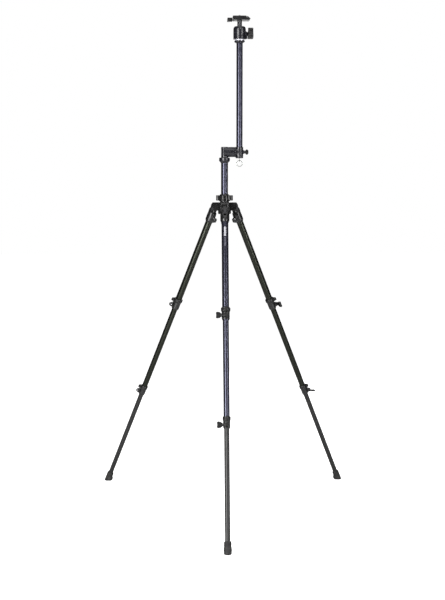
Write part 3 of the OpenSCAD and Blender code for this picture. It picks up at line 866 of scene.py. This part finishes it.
class TRIPOD_OT_spider(PieceOperator, bpy.types.Operator):
    """Make the spider casting that the legs hinge on, with its bolts and bush"""

    bl_idname = "tripod.spider"
    bl_label = "Spider"

    def execute(self, context):
        edge = context.scene.tripod_sizes.edge
        low, high = span("spider", COLUMN)
        hinge = joint_point("front_fold")
        z = hinge.z * 1000
        reach = (COLUMN.translation - Vector((hinge.x, hinge.y, 0))).length * 1000
        top = z + 22.5
        hub = turned("hub", [(0, low.z), (22, low.z, 1), (24, low.z + 2.5, 1), (24, top, 0.8), (17, top, 1.5),
            (17, high.z, 0.8), (0, high.z)], 0.6, steps=96)
        arm = slab("arm", [(0, z - 8, 0), (reach, z - 8, 3), (reach + 5.6, z - 5.6, 3), (reach + 8, z, 4),
            (reach + 5.5, top - 9, 6), (reach - 1, top, 3), (0, top, 0)], -15, 15, 0.5, bevel=edge + 0.2,
            segments=3)
        cut(
            arm,
            brick("slot", (reach - 11, -10.2, low.z - 5), (reach + 20, 10.2, z + 12)),
            brick("slot", (reach + 2, -10.2, z), (reach + 20, 10.2, top + 5)),
            slab("hollow", [(26, top + 1, 1), (reach - 6, top + 1, 1), (reach - 6, top - 2, 1),
                (26, top - 2, 1)], -8, 8, 0.6),
            shifted(rod("pin", 3, -20, 20, 0), along((0, 1, 0), (reach, 0, z))),
        )
        arms = self.three(arm)
        united(hub, *arms)
        cut(hub, turned("bore", [(0, low.z - 2), (15.5, low.z - 2), (15.5, high.z + 2), (0, high.z + 2)],
            0, steps=96))
        softened(hub, 0.35, 2, 40)
        placed(hub, COLUMN, "spider_casting", "spider_body", "casting", "hinge_casting", "spider")

        head = [(0, 17.4), (2.0, 17.4, 0), (2.0, 16.0, 0), (2.2, 16.0, 0), (2.2, 17.4, 0.1), (4.6, 17.4, 0.6),
            (5.2, 16.4, 0.4), (5.2, 15, 0.1), (0, 15)]
        one = turned("head", head, 0.2)
        far = shifted(copied(one, "far"), Matrix.Rotation(math.pi, 4, "X"))
        bolt = joined("bolt", one, far, rod("shank", 3, -15.2, 15.2, 0.2))
        shifted(bolt, along((0, 1, 0), (reach, 0, z)))
        placed(joined("bolts", *self.three(bolt)), COLUMN, "spider_bolts", "spider_body", "steel",
            "black_steel", "hinge_bolts")

        bush = turned("bush", [(12.95, low.z), (15.5, low.z), (15.5, high.z), (12.95, high.z)], 0.5,
            ring=True)
        placed(bush, COLUMN, "spider_bush", "spider_body", "black_plastic", "black_plastic", "column_bush")
        return {"FINISHED"}

    def three(self, piece):
        """The piece and two copies, each turned about the column towards its leg."""
        pieces = [piece, copied(piece, piece.name), copied(piece, piece.name)]
        for one, leg in zip(pieces, LEGS):
            out = joint_point(leg + "_fold") - COLUMN.translation
            shifted(one, Matrix.Rotation(math.atan2(out.y, out.x), 4, "Z"))
        return pieces


class TRIPOD_OT_collar_nut(PieceOperator, bpy.types.Operator):
    """Make the lobed nut that clamps the column"""

    bl_idname = "tripod.collar_nut"
    bl_label = "Clamp Nut"

    def execute(self, context):
        low, high = span("collar_nut", COLUMN)
        body = turned("nut", [(0, low.z), (20.2, low.z, 0.5), (20.8, low.z + 1, 0.4), (20.8, high.z - 7, 1.2),
            (17.5, high.z - 2, 1), (16, high.z, 0.6), (0, high.z)], 0.5, steps=96)
        lobes = []
        for k in range(6):
            outline = [(14, -6.4), (22, -6.6, 1.5)]
            outline += [(25 + 7 * math.cos(a), 7 * math.sin(a)) for a in
                [math.radians(-80 + 160 * n / 12) for n in range(13)]]
            outline += [(22, 6.6, 1.5), (14, 6.4)]
            turn = Matrix.Rotation(math.radians(15 + 60 * k), 4, "Z")
            lobes.append(layer("lobe", outline, low.z + 2.5, low.z + 22, 0, 1.2, 3, place=turn))
        united(body, *lobes)
        bore = [(0, low.z - 1), (17.05, low.z - 1), (17.05, high.z - 7.7), (13.2, high.z - 7.7),
            (13.2, high.z + 2), (0, high.z + 2)]
        cut(body, turned("bore", bore, 0, steps=96))
        softened(body, 0.4, 2, 40)
        placed(body, COLUMN, "clamp_nut", "nut", "black_plastic", "knob_plastic", "collar_nut")
        return {"FINISHED"}


class TRIPOD_OT_column(PieceOperator, bpy.types.Operator):
    """Make the column's tube, its flange and the plug at its lower end"""

    bl_idname = "tripod.column"
    bl_label = "Column"

    def execute(self, context):
        low, high = span("column_tube", COLUMN)
        body = pipe("tube", 11.2, COLUMN_RADIUS, low.z, high.z)
        placed(body, COLUMN, "column_section", "column", "anodised_tube", "column_tube", "column_tube")
        z = span("column_flange", COLUMN)[1].z
        flange = turned("flange", [(0, z - 5), (12.9, z - 5), (12.9, z - 20, 0.2), (13.5, z - 20, 0.3),
            (14.8, z - 17.4, 1.5), (18.6, z - 13.8, 1.5), (20, z - 11.4, 1), (20, z - 1.6, 0.6),
            (18.8, z, 0.4), (0, z)], 0.2, steps=96)
        placed(flange, COLUMN, "column_top_flange", "column", "casting", "casting", "column_flange")
        z = span("column_plug", COLUMN)[0].z
        plug = turned("plug", [(0, z), (4, z, 0.3), (4.6, z + 0.8, 0.3), (8.6, z + 0.8, 0.3), (9.2, z, 0.3),
            (11.5, z, 0.6), (12.9, z + 1.4, 0.3), (12.9, z + 5, 0.1), (11.2, z + 5, 0.1), (11.2, z + 15, 0.3),
            (0, z + 15)], 0.3)
        placed(plug, COLUMN, "column_end_plug", "column", "black_plastic", "black_plastic", "column_plug")
        return {"FINISHED"}


# ---- arm and mast ----

class TRIPOD_OT_arm(PieceOperator, bpy.types.Operator):
    """Make the arm block on the column, with its barrel and lock screw"""

    bl_idname = "tripod.arm"
    bl_label = "Arm Block"

    def execute(self, context):
        z = joint_point("arm_tilt").z * 1000
        across, screw_line = along((1, 0, 0), (0, 0, z)), along((0, -1, 0), (20, 0, z))
        low, high = span("arm_block", COLUMN)
        barrel = turned("barrel", [(0, -4), (12, -4, 0.4), (12.6, -3.5, 0.2), (16.9, -3.5, 0.6),
            (18.5, -1.6, 0.8), (18.5, 31.6, 0.3), (18.0, 32.2, 0.2), (18.0, 33.0, 0.2), (18.5, 33.6, 0.3),
            (18.5, high.x - 0.6, 0.5), (18, high.x, 0.2), (0, high.x)], 0.4, steps=96)
        shifted(barrel, across)
        stub = turned("stub", [(0, low.z), (12.7, low.z, 0.6), (12.7, high.z, 1.2), (0, high.z)], 0.6,
            steps=96)
        flat = brick("flat", (-12.7, -9, low.z + 6), (6, 9, z + 17.9), 1.2, 3)
        united(barrel, stub, flat)
        cut(
            barrel,
            shifted(rod("pivot hole", 5.05, 14, 40, 0), across),
            shifted(rod("screw hole", 3.0, 13, 20, 0), screw_line),
            shifted(rod("seat", 4.1, 17.6, 20, 0), screw_line),
        )
        softened(barrel, 0.35, 2, 38)
        placed(barrel, COLUMN, "arm_barrel", "arm", "casting", "casting", "arm_block")
        screw = turned("screw", [(0, 13), (3, 13, 0.2), (3, 18.2, 0.4), (2.6, 18.85, 0.2), (0, 18.85)], 0.2)
        cut(screw, hexagon("key", 1.6, 17.2, 20, 0))
        softened(screw, 0.12, 2, 40)
        shifted(screw, screw_line)
        placed(screw, COLUMN, "arm_lock_screw", "arm", "steel", "black_steel", "arm_screw")
        return {"FINISHED"}


class TRIPOD_OT_tube_clamp(PieceOperator, bpy.types.Operator):
    """Make the clamp that holds the mast on the arm, its pivot and its hand screw"""

    bl_idname = "tripod.tube_clamp"
    bl_label = "Mast Clamp"

    def execute(self, context):
        z = joint_point("arm_tilt").z * 1000
        across = along((1, 0, 0), (0, 0, z))
        low, high = span("tube_clamp", COLUMN)
        mast = (MAST.translation.x - COLUMN.translation.x) * 1000
        disc = turned("disc", [(0, low.x), (17.9, low.x, 0.3), (18.5, low.x + 0.6, 0.3),
            (18.5, low.x + 3.2, 0.4), (18, low.x + 3.8, 0.6), (14, low.x + 3.8, 0.8), (14, mast), (0, mast)],
            0.3, steps=96)
        boss = turned("boss", [(0, mast), (7, mast), (7, high.x - 3, 0.6), (6.4, high.x - 2.4, 0.4),
            (6.4, high.x, 0.5), (0, high.x)], 0.4, steps=64)
        for piece in (disc, boss):
            shifted(piece, across)
        sleeve = turned("sleeve", [(0, low.z), (13.4, low.z, 0.5), (14.2, low.z + 1.2, 0.6),
            (14.2, low.z + 4.0, 0.3), (13.8, low.z + 4.4, 0.2), (13.8, low.z + 5.2, 0.2),
            (14.2, low.z + 5.6, 0.3), (14.2, high.z - 1.4, 0.8), (13.2, high.z, 0.5), (0, high.z)], 0.5,
            steps=96)
        shifted(sleeve, Matrix.Translation((mast * MM, 0, 0)))
        united(sleeve, disc, boss)
        bore = turned("bore", [(0, low.z - 2), (11.55, low.z - 2), (11.55, high.z + 2), (0, high.z + 2)], 0,
            steps=96)
        cut(
            sleeve,
            shifted(bore, Matrix.Translation((mast * MM, 0, 0))),
            shifted(rod("pivot seat", 5, low.x - 1, low.x + 3, 0), across),
            shifted(rod("screw hole", 3.05, mast, high.x + 5, 0), across),
        )
        softened(sleeve, 0.4, 3, 38)
        placed(sleeve, COLUMN, "mast_clamp", "clamp", "casting", "casting", "tube_clamp")

        low, high = span("pivot_bolt", COLUMN)
        pivot = turned("pivot", [(0, low.x), (5, low.x, 0.4), (5, low.x + 9, 0.2), (4.7, low.x + 9.4, 0.1),
            (4.7, low.x + 10.4, 0.1), (5, low.x + 10.8, 0.2), (5, high.x, 0.2), (0, high.x)], 0.2)
        shifted(pivot, across)
        placed(pivot, COLUMN, "arm_pivot", "clamp", "steel", "steel", "pivot_bolt")

        low, high = span("thumbscrew", COLUMN)
        stem = high.x - 13.6
        shaft = shifted(rod("shaft", 3, low.x, stem + 3, 0.3), across)
        neck = turned("neck", [(0, stem), (4.2, stem, 0.3), (4.2, stem + 1.6, 0.2), (3.8, stem + 2, 0.1),
            (3.8, stem + 2.8, 0.1), (4.2, stem + 3.2, 0.2), (4.2, stem + 5, 0.4), (0, stem + 5)], 0.2)
        shifted(neck, across)
        half = [(stem + 1, 3.4, 0.5), (stem + 3, 7.6, 2), (stem + 7, 10, 2.5), (stem + 10.6, 8.6, 2.5),
            (stem + 13.6, 4.4, 2.5)]
        outline = [(x, z + h, r) for x, h, r in half] + [(x, z - h, r) for x, h, r in reversed(half)]
        flat = slab("flat", outline, -3.5, 3.5, 1, bevel=1.6, segments=5)
        united(flat, shaft, neck)
        placed(flat, COLUMN, "mast_hand_screw", "arm_thumb", "black_plastic", "knob_plastic", "thumbscrew")
        return {"FINISHED"}


class TRIPOD_OT_mast(PieceOperator, bpy.types.Operator):
    """Make the mast's tube, its flange, the plug with its eye, and the head's stud"""

    bl_idname = "tripod.mast"
    bl_label = "Mast"

    def execute(self, context):
        low, high = span("mast_tube", MAST)
        body = pipe("tube", 10, MAST_RADIUS, low.z, high.z)
        placed(body, MAST, "mast_section", "mast", "anodised_tube", "mast_tube", "mast_tube")
        z = span("mast_flange", MAST)[1].z
        flange = turned("flange", [(4.7, z - 5), (11.5, z - 5), (11.5, z - 8, 0.1), (12.2, z - 8, 0.2),
            (17.5, z - 4.6, 0.8), (19.2, z - 2.8, 0.4), (19.2, z - 0.6, 0.3), (18.7, z, 0.2), (4.7, z, 0.1)],
            0.1, ring=True, steps=96)
        placed(flange, MAST, "mast_top_flange", "mast", "casting", "casting", "mast_flange")
        z = span("mast_tube", MAST)[0].z
        plug = turned("plug", [(0, z - 0.8), (10.8, z - 0.8, 0.4), (11.5, z - 0.2, 0.1), (11.5, z, 0.1),
            (10, z, 0.1), (10, z + 9, 0.4), (0, z + 9)], 0.2)
        end = span("mast_plug", MAST)[0].z
        eye = wire_loop("eye", Vector((0, 0, (end + 4) * MM)), 2.9 * MM, 1.1 * MM, (1, 0, 0), 360)
        united(eye, rod("eye stem", 1.1, z - 6.4, z - 0.4, 0))
        placed(eye, MAST, "mast_ring_eye", "mast", "steel", "bright_wire")
        placed(plug, MAST, "mast_end_plug", "mast", "black_plastic", "black_plastic", "mast_plug")
        low, high = span("head_stud", MAST)
        outline = [(0, low.z), (4.7, low.z, 0.1)]
        for k in range(11):
            t = low.z + 1.5 + 1.45 * k
            outline += [(4.7, t, 0), (4.25, t + 0.7, 0)]
        outline += [(4.7, high.z - 0.5, 0), (4.2, high.z, 0), (0, high.z)]
        stud = turned("stud", outline, 0)
        placed(stud, MAST, "mast_stud", "mast", "steel", "steel", "head_stud")
        return {"FINISHED"}


class TRIPOD_OT_hook_ring(PieceOperator, bpy.types.Operator):
    """Make the split wire ring under the mast"""

    bl_idname = "tripod.hook_ring"
    bl_label = "Hook Ring"

    def execute(self, context):
        low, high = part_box("hook_ring")
        wire = (high.y - low.y) / 2
        ring = wire_loop("ring", (low + high) / 2, (high.z - low.z) / 2 - wire, wire, (0, 1, 0), 357)
        softened(ring, 0.15, 2, 50)
        finished(ring, "mast_hook_ring", "ring", "bright_wire", "bright_wire", "hook_ring")
        return {"FINISHED"}


# ---- head ----

class TRIPOD_OT_head(PieceOperator, bpy.types.Operator):
    """Make the ball head's housing, its stop screw and the bright ring under it"""

    bl_idname = "tripod.head"
    bl_label = "Head Housing"

    def execute(self, context):
        low, high = span("head_base", MAST)
        base = turned("base", [(4.75, low.z), (16.8, low.z, 0.3), (17.4, low.z + 0.7, 0.2),
            (17.4, high.z, 0.1), (4.75, high.z, 0.1)], 0.2, ring=True, steps=96)
        placed(base, MAST, "head_bright_ring", "head", "silver", "silver", "head_base")
        z = high.z
        body = turned("housing", [(0, z), (22.2, z, 0.3), (22.9, z + 0.8, 0.3), (22.9, z + 6, 0.2),
            (22.5, z + 6.3, 0.1), (22.5, z + 6.9, 0.1), (22.9, z + 7.2, 0.2), (22.9, z + 12.2, 0.2),
            (22.5, z + 12.5, 0.1), (22.5, z + 13.1, 0.1), (22.9, z + 13.4, 0.2), (22.9, z + 36, 3),
            (21.9, z + 40.5, 4), (19.8, z + 44, 1.5), (18, z + 45.3, 0.4), (0, z + 45.3)], 0.5, steps=96)
        knob_z = joint_point("ball_knob_turn").z * 1000
        boss = turned("boss", [(0, 15), (10, 15), (10, 24, 2), (6.5, 29.6, 0.8), (0, 29.6)], 0.5, steps=64)
        shifted(boss, along((1, 0, 0), (0, 0, knob_z)))
        pad = slab("pad", [(15, z + 1.5), (28.5, z + 1.5, 1.5), (28.5, knob_z - 1), (15, knob_z - 1)], -7, 7,
            0, bevel=0.8, segments=3)
        united(body, boss, pad)
        ball = joint_point("ball_tilt").z * 1000
        hollow = turned("hollow", arc(BALL_RADIUS + 0.05, ball, 0, 180, 28), 0, steps=80)
        cut(
            body,
            hollow,
            turned("mouth", [(0, ball + 4.5), (15.8, ball + 4.5), (16.8, z + 46.3), (0, z + 46.3)], 0,
                steps=80),
            rod("stud hole", 4.75, z - 1, z + 11, 0),
            shifted(rod("knob hole", 5.05, 17, 40, 0), along((1, 0, 0), (0, 0, knob_z))),
        )
        softened(body, 0.4, 3, 40)
        placed(body, MAST, "head_housing", "head", "casting", "casting", "head_body")
        screw = turned("plug", [(0, 19), (1.7, 19), (1.7, 22.7, 0.3), (1.2, 22.8, 0.1), (0, 22.6)], 0.1,
            steps=32)
        shifted(screw, MAST @ Matrix.Rotation(math.radians(11), 4, "Z") @ along((0, -1, 0), (0, 0, z + 37)))
        finished(screw, "head_stop_screw", "head", "steel", "steel")
        return {"FINISHED"}


class TRIPOD_OT_knob(PieceOperator, bpy.types.Operator):
    """Make the three-lobed knob that clamps the ball"""

    bl_idname = "tripod.knob"
    bl_label = "Head Knob"

    def execute(self, context):
        z = joint_point("ball_knob_turn").z * 1000
        low, _ = span("ball_knob", MAST)
        face = low.x + 12.6
        out = along((1, 0, 0), (face, 0, z))
        outline = []
        for k in range(3):
            middle = math.radians(120 * k)
            for n in range(-9, 10):
                a = middle + math.radians(n * 11)
                outline.append((
                    14.2 * math.cos(middle) + 8.8 * math.cos(a),
                    14.2 * math.sin(middle) + 8.8 * math.sin(a),
                ))
            dip = middle + math.radians(60)
            outline.append((11.2 * math.cos(dip), 11.2 * math.sin(dip), 2))
        lobes = slab("lobes", outline, 0.8, 19.7, 0, bevel=1.6, segments=4)
        shifted(lobes, Matrix.Translation((face * MM, 0, z * MM)) @ STANDING)
        dimple = turned("dimple", [(0, 18.5), (6.4, 18.5, 1), (7.2, 21, 0), (0, 21)], 0.4)
        cut(lobes, shifted(dimple, out))
        collar = turned("collar", [(0, 0), (11.4, 0, 0.4), (12, 0.7, 0.3), (12, 3, 0.3), (0, 3)], 0.3)
        cap = turned("cap", [(0, 15), (5.6, 15), (5.6, 18.9, 0.6), (0, 19.2)], 0.3)
        shaft = rod("shaft", 5, low.x - face, 2, 0.4)
        for piece in (collar, cap, shaft):
            shifted(piece, out)
        united(lobes, collar, shaft, cap)
        placed(lobes, MAST, "head_knob", "knob", "black_plastic", "knob_plastic", "ball_knob")
        return {"FINISHED"}


class TRIPOD_OT_ball(PieceOperator, bpy.types.Operator):
    """Make the ball with its stem"""

    bl_idname = "tripod.ball"
    bl_label = "Ball"

    def execute(self, context):
        centre = joint_point("ball_tilt").z * 1000
        top = span("ball_stem", MAST)[1].z
        outline = arc(BALL_RADIUS, centre, 180, 36, 24)
        outline[0] = (0, centre - BALL_RADIUS)
        outline += [(9.4, centre + 14.4, 0.8), (8.5, centre + 16, 0.8), (8.5, top - 2.6, 0.2),
            (8.2, top - 2.2, 0.1), (8.2, top - 1.2, 0.1), (8.5, top - 0.8, 0.2), (8.5, top, 0.1), (0, top)]
        ball = turned("ball", outline, 0, steps=96)
        placed(ball, MAST, "head_ball", "ball", "ball_metal", "ball_metal", "ball_stem")
        return {"FINISHED"}


class TRIPOD_OT_platform(PieceOperator, bpy.types.Operator):
    """Make the platform that the quick plate locks on, and its release lever"""

    bl_idname = "tripod.platform"
    bl_label = "Platform and Lever"

    def execute(self, context):
        low, high = span("platform", MAST)
        z = low.z
        deck = z + 6.6
        body = slab("platform", [(-23, z, 0.6), (33.2, z, 1.2), (39, z + 4.6, 1), (28.6, deck + 6.4, 0.6),
            (26.6, deck + 6.4, 0.3), (25.9, deck + 3.4, 0.2), (26.4, deck, 0.2), (-25, deck, 0.5),
            (-25, z + 2, 0.5)], low.y, high.y, 0.3, bevel=0.6, segments=3)
        cut(
            body,
            brick("recess", (-30, -20.5, z + 1.6), (-15.5, 26, deck - 1)),
            rod("stem seat", 8.5, z - 1, z + 2.2, 0, 64),
        )
        pin = rod("pin", 2.5, z + 1.5, deck - 0.9, 0, 32)
        united(body, shifted(pin, LEVER_PIN))
        placed(body, MAST, "head_platform", "ball", "casting", "plate_metal", "platform")

        low, high = span("release_lever", MAST)
        under, over = deck - 4.8, deck - 1.2
        eye = turned("eye", [(0, under), (3.9, under, 0.4), (3.9, over, 0.4), (0, over)], 0.4, steps=48)
        shifted(eye, LEVER_PIN)
        bar = brick("bar", (-25.4, -15, under), (-19.5, 17, over), 0.4)
        tab = slab("tab", [(low.x, low.z, 2), (-26.3, low.z, 1), (-26.3, high.z, 1),
            (low.x + 1, high.z, 2.5)], 2, 17, 0.6, bevel=1.6, segments=4)
        bridge = brick("bridge", (-29, 3.5, under + 0.2), (-22, 16, over - 0.2))
        grips = [brick("grip", (low.x - 1, 4.6 + 2.4 * k, low.z - 1),
            (low.x + 0.5, 5.4 + 2.4 * k, high.z + 1)) for k in range(5)]
        cut(tab, *grips)
        united(bar, bridge, eye, tab)
        cut(bar, shifted(rod("hole", 2.56, under - 2, over + 2, 0, 32), LEVER_PIN))
        placed(bar, MAST, "head_release_lever", "lever", "black_plastic", "knob_plastic", "release_lever")
        return {"FINISHED"}


class TRIPOD_OT_quick_plate(PieceOperator, bpy.types.Operator):
    """Make the quick plate, its ribbed pad and the camera screw"""

    bl_idname = "tripod.quick_plate"
    bl_label = "Quick Plate"

    def execute(self, context):
        low, high = span("quick_plate", MAST)
        y, z = high.y, high.z
        left, right = low.x, low.x + PLATE_WIDTH
        corners = [(left, -y), (right, -y), (right, y), (left, y)]
        plate = layer("plate", corners, z - 3.4, z, 3, 0.5, steps=6)
        tail = slab("tail", [(-21, low.z, 0.3), (25.8, low.z, 0.3), (24.7, z - 3.3, 0), (-19, z - 3.3, 0)],
            1 - y, y - 1, 0.2, bevel=0.3)
        united(plate, tail)
        cut(
            plate,
            rod("well", 9, low.z - 1, low.z + 2.3, 0, 64),
            rod("screw hole", 3.0, low.z - 1, z + 2, 0),
        )
        placed(plate, MAST, "quick_plate_body", "plate", "plate_metal", "plate_metal", "quick_plate")

        low, high = span("plate_pad", MAST)
        corners = [(low.x, low.y), (high.x, low.y), (high.x, high.y), (low.x, high.y)]
        pad = layer("pad", corners, low.z, high.z, 2.5, 0.3, steps=6)
        count = context.scene.tripod_sizes.rib_count
        pitch = (high.x - low.x - 5) / count
        grooves = [brick("groove", (low.x + 2.5 + pitch * k - 0.55, low.y + 1.8, high.z - 0.5),
            (low.x + 2.5 + pitch * k + 0.55, high.y - 1.8, high.z + 1)) for k in range(count + 1)]
        cut(pad, joined("grooves", *grooves), rod("hole", 3.4, low.z - 1, high.z + 1, 0))
        placed(pad, MAST, "quick_plate_pad", "plate", "rubber", "pad", "plate_pad")

        low, high = span("camera_screw", MAST)
        turns = context.scene.tripod_sizes.turns
        pitch = 4.3 / turns
        outline = [(0, low.z), (8.0, low.z, 0.3), (8.5, low.z + 0.5, 0.2), (8.5, low.z + 1.6, 0.2),
            (8.2, low.z + 2, 0.1), (2.9, low.z + 2, 0.1), (2.9, high.z - 4.6, 0)]
        for k in range(turns):
            t = high.z - 4.5 + pitch * k
            outline += [(SCREW_RADIUS, t + 0.3 * pitch, 0.05), (SCREW_RADIUS, t + 0.45 * pitch, 0.05),
                (2.65, t + 0.9 * pitch, 0.05)]
        outline += [(2.4, high.z, 0.1), (0, high.z)]
        screw = turned("screw", outline, 0.1, steps=64)
        cut(screw, brick("slot", (-9, -0.8, low.z - 1), (9, 0.8, low.z + 1)))
        placed(screw, MAST, "camera_screw_turned", "screw", "steel", "steel", "camera_screw")
        return {"FINISHED"}


# ---- stage ----

class TRIPOD_OT_stage(PieceOperator, bpy.types.Operator):
    """Make the pale floor, the lights, the surrounding light and the camera"""

    bl_idname = "tripod.stage"
    bl_label = "Stage"

    def execute(self, context):
        s = context.scene.tripod_stage
        axis = COLUMN.translation
        context.scene.view_settings.view_transform = "Standard"
        bpy.ops.object.select_all(action="DESELECT")
        bpy.ops.mesh.primitive_plane_add(size=30, location=(0, 0, -0.0005))
        floor = named(bpy.context.object, "floor")
        only(floor)
        bpy.ops.object.transform_apply(location=True, rotation=True, scale=True)
        floor.data.materials.append(self.paper())

        middle = Vector((axis.x, axis.y, 1.0))
        for name, at, size, power in (
            ("strip left", (-1.35, -2.35, 1.25), (0.5, 2.4), s.strip),
            ("strip right", (1.9, -1.9, 1.25), (0.10, 2.4), s.strip * 0.4),
            ("soft back", (0.6, 2.6, 1.4), (1.2, 2.2), s.strip * 0.18),
            ("soft top", (0.3, -0.8, 3.4), (2.2, 2.2), s.strip * 0.25),
        ):
            bpy.ops.object.light_add(type="AREA", location=Vector((axis.x, axis.y, 0)) + Vector(at))
            light = bpy.context.object
            light.name = name
            light.data.shape = "RECTANGLE"
            light.data.size, light.data.size_y = size
            light.data.energy = power
            aim = middle - light.location
            if name != "soft top":
                aim.z = 0
            light.rotation_euler = aim.to_track_quat("-Z", "Y").to_euler()

        world = bpy.data.worlds.new("studio")
        context.scene.world = world
        world.use_nodes = True
        tree = world.node_tree
        glow = tree.nodes["Background"]
        seen = tree.nodes.new("ShaderNodeLightPath")
        mix = tree.nodes.new("ShaderNodeMapRange")
        mix.inputs["To Min"].default_value = s.sky
        mix.inputs["To Max"].default_value = 1.0
        tree.links.new(seen.outputs["Is Camera Ray"], mix.inputs["Value"])
        tree.links.new(mix.outputs["Result"], glow.inputs["Strength"])
        glow.inputs["Color"].default_value = (1, 1, 1, 1)

        bpy.ops.object.camera_add(location=(axis.x + s.side, axis.y - s.back, s.height))
        camera = bpy.context.object
        camera.data.sensor_width = 36
        camera.data.lens = s.lens
        level = math.cos(s.pitch)
        aim = Vector((math.sin(s.yaw) * level, math.cos(s.yaw) * level, -math.sin(s.pitch)))
        camera.rotation_euler = aim.to_track_quat("-Z", "Y").to_euler()
        camera.data.clip_end = 100
        context.scene.camera = camera
        return {"FINISHED"}

    def paper(self):
        """White seamless paper, bright enough to fade into the background."""
        material = bpy.data.materials.new("seamless paper")
        material.use_nodes = True
        tree = material.node_tree
        shader = tree.nodes["Principled BSDF"]
        shader.inputs["Roughness"].default_value = 0.9
        fibre = tree.nodes.new("ShaderNodeTexNoise")
        fibre.inputs["Scale"].default_value = 90
        tone = tree.nodes.new("ShaderNodeValToRGB")
        tone.color_ramp.elements[0].color = (0.88, 0.88, 0.88, 1)
        tone.color_ramp.elements[1].color = (0.92, 0.92, 0.92, 1)
        tree.links.new(fibre.outputs["Fac"], tone.inputs["Fac"])
        tree.links.new(tone.outputs["Color"], shader.inputs["Base Color"])
        seen = tree.nodes.new("ShaderNodeLightPath")
        tree.links.new(seen.outputs["Is Camera Ray"], shader.inputs["Emission Strength"])
        shader.inputs["Emission Color"].default_value = (1, 1, 1, 1)
        return material


STEPS = (
    TRIPOD_OT_stage,
    TRIPOD_OT_leg_tubes,
    TRIPOD_OT_badge,
    TRIPOD_OT_sockets,
    TRIPOD_OT_leg_bolts,
    TRIPOD_OT_locks,
    TRIPOD_OT_wing_screws,
    TRIPOD_OT_feet,
    TRIPOD_OT_spider,
    TRIPOD_OT_collar_nut,
    TRIPOD_OT_column,
    TRIPOD_OT_arm,
    TRIPOD_OT_tube_clamp,
    TRIPOD_OT_mast,
    TRIPOD_OT_hook_ring,
    TRIPOD_OT_head,
    TRIPOD_OT_knob,
    TRIPOD_OT_ball,
    TRIPOD_OT_platform,
    TRIPOD_OT_quick_plate,
)


class TRIPOD_PT_panel(bpy.types.Panel):
    """Sizes, colours and stage of the tripod, with a button for each group of pieces"""

    bl_idname = "TRIPOD_PT_panel"
    bl_label = "Camera Tripod"
    bl_space_type = "VIEW_3D"
    bl_region_type = "UI"
    bl_category = "Tripod"

    def draw(self, context):
        column = self.layout.column()
        for group in (context.scene.tripod_sizes, context.scene.tripod_colours, context.scene.tripod_stage):
            for name in group.__annotations__:
                column.prop(group, name)
            column.separator()
        for step in STEPS:
            column.operator(step.bl_idname)


CLASSES = (TripodColours, TripodSizes, TripodStage, *STEPS, TRIPOD_PT_panel)


def register():
    for cls in CLASSES:
        bpy.utils.register_class(cls)
    bpy.types.Scene.tripod_colours = PointerProperty(type=TripodColours)
    bpy.types.Scene.tripod_sizes = PointerProperty(type=TripodSizes)
    bpy.types.Scene.tripod_stage = PointerProperty(type=TripodStage)


def unregister():
    del bpy.types.Scene.tripod_stage
    del bpy.types.Scene.tripod_sizes
    del bpy.types.Scene.tripod_colours
    for cls in reversed(CLASSES):
        bpy.utils.unregister_class(cls)


def main():
    register()
    for step in STEPS:
        group, action = step.bl_idname.split(".")
        getattr(getattr(bpy.ops, group), action)()


if __name__ == "__main__":
    main()
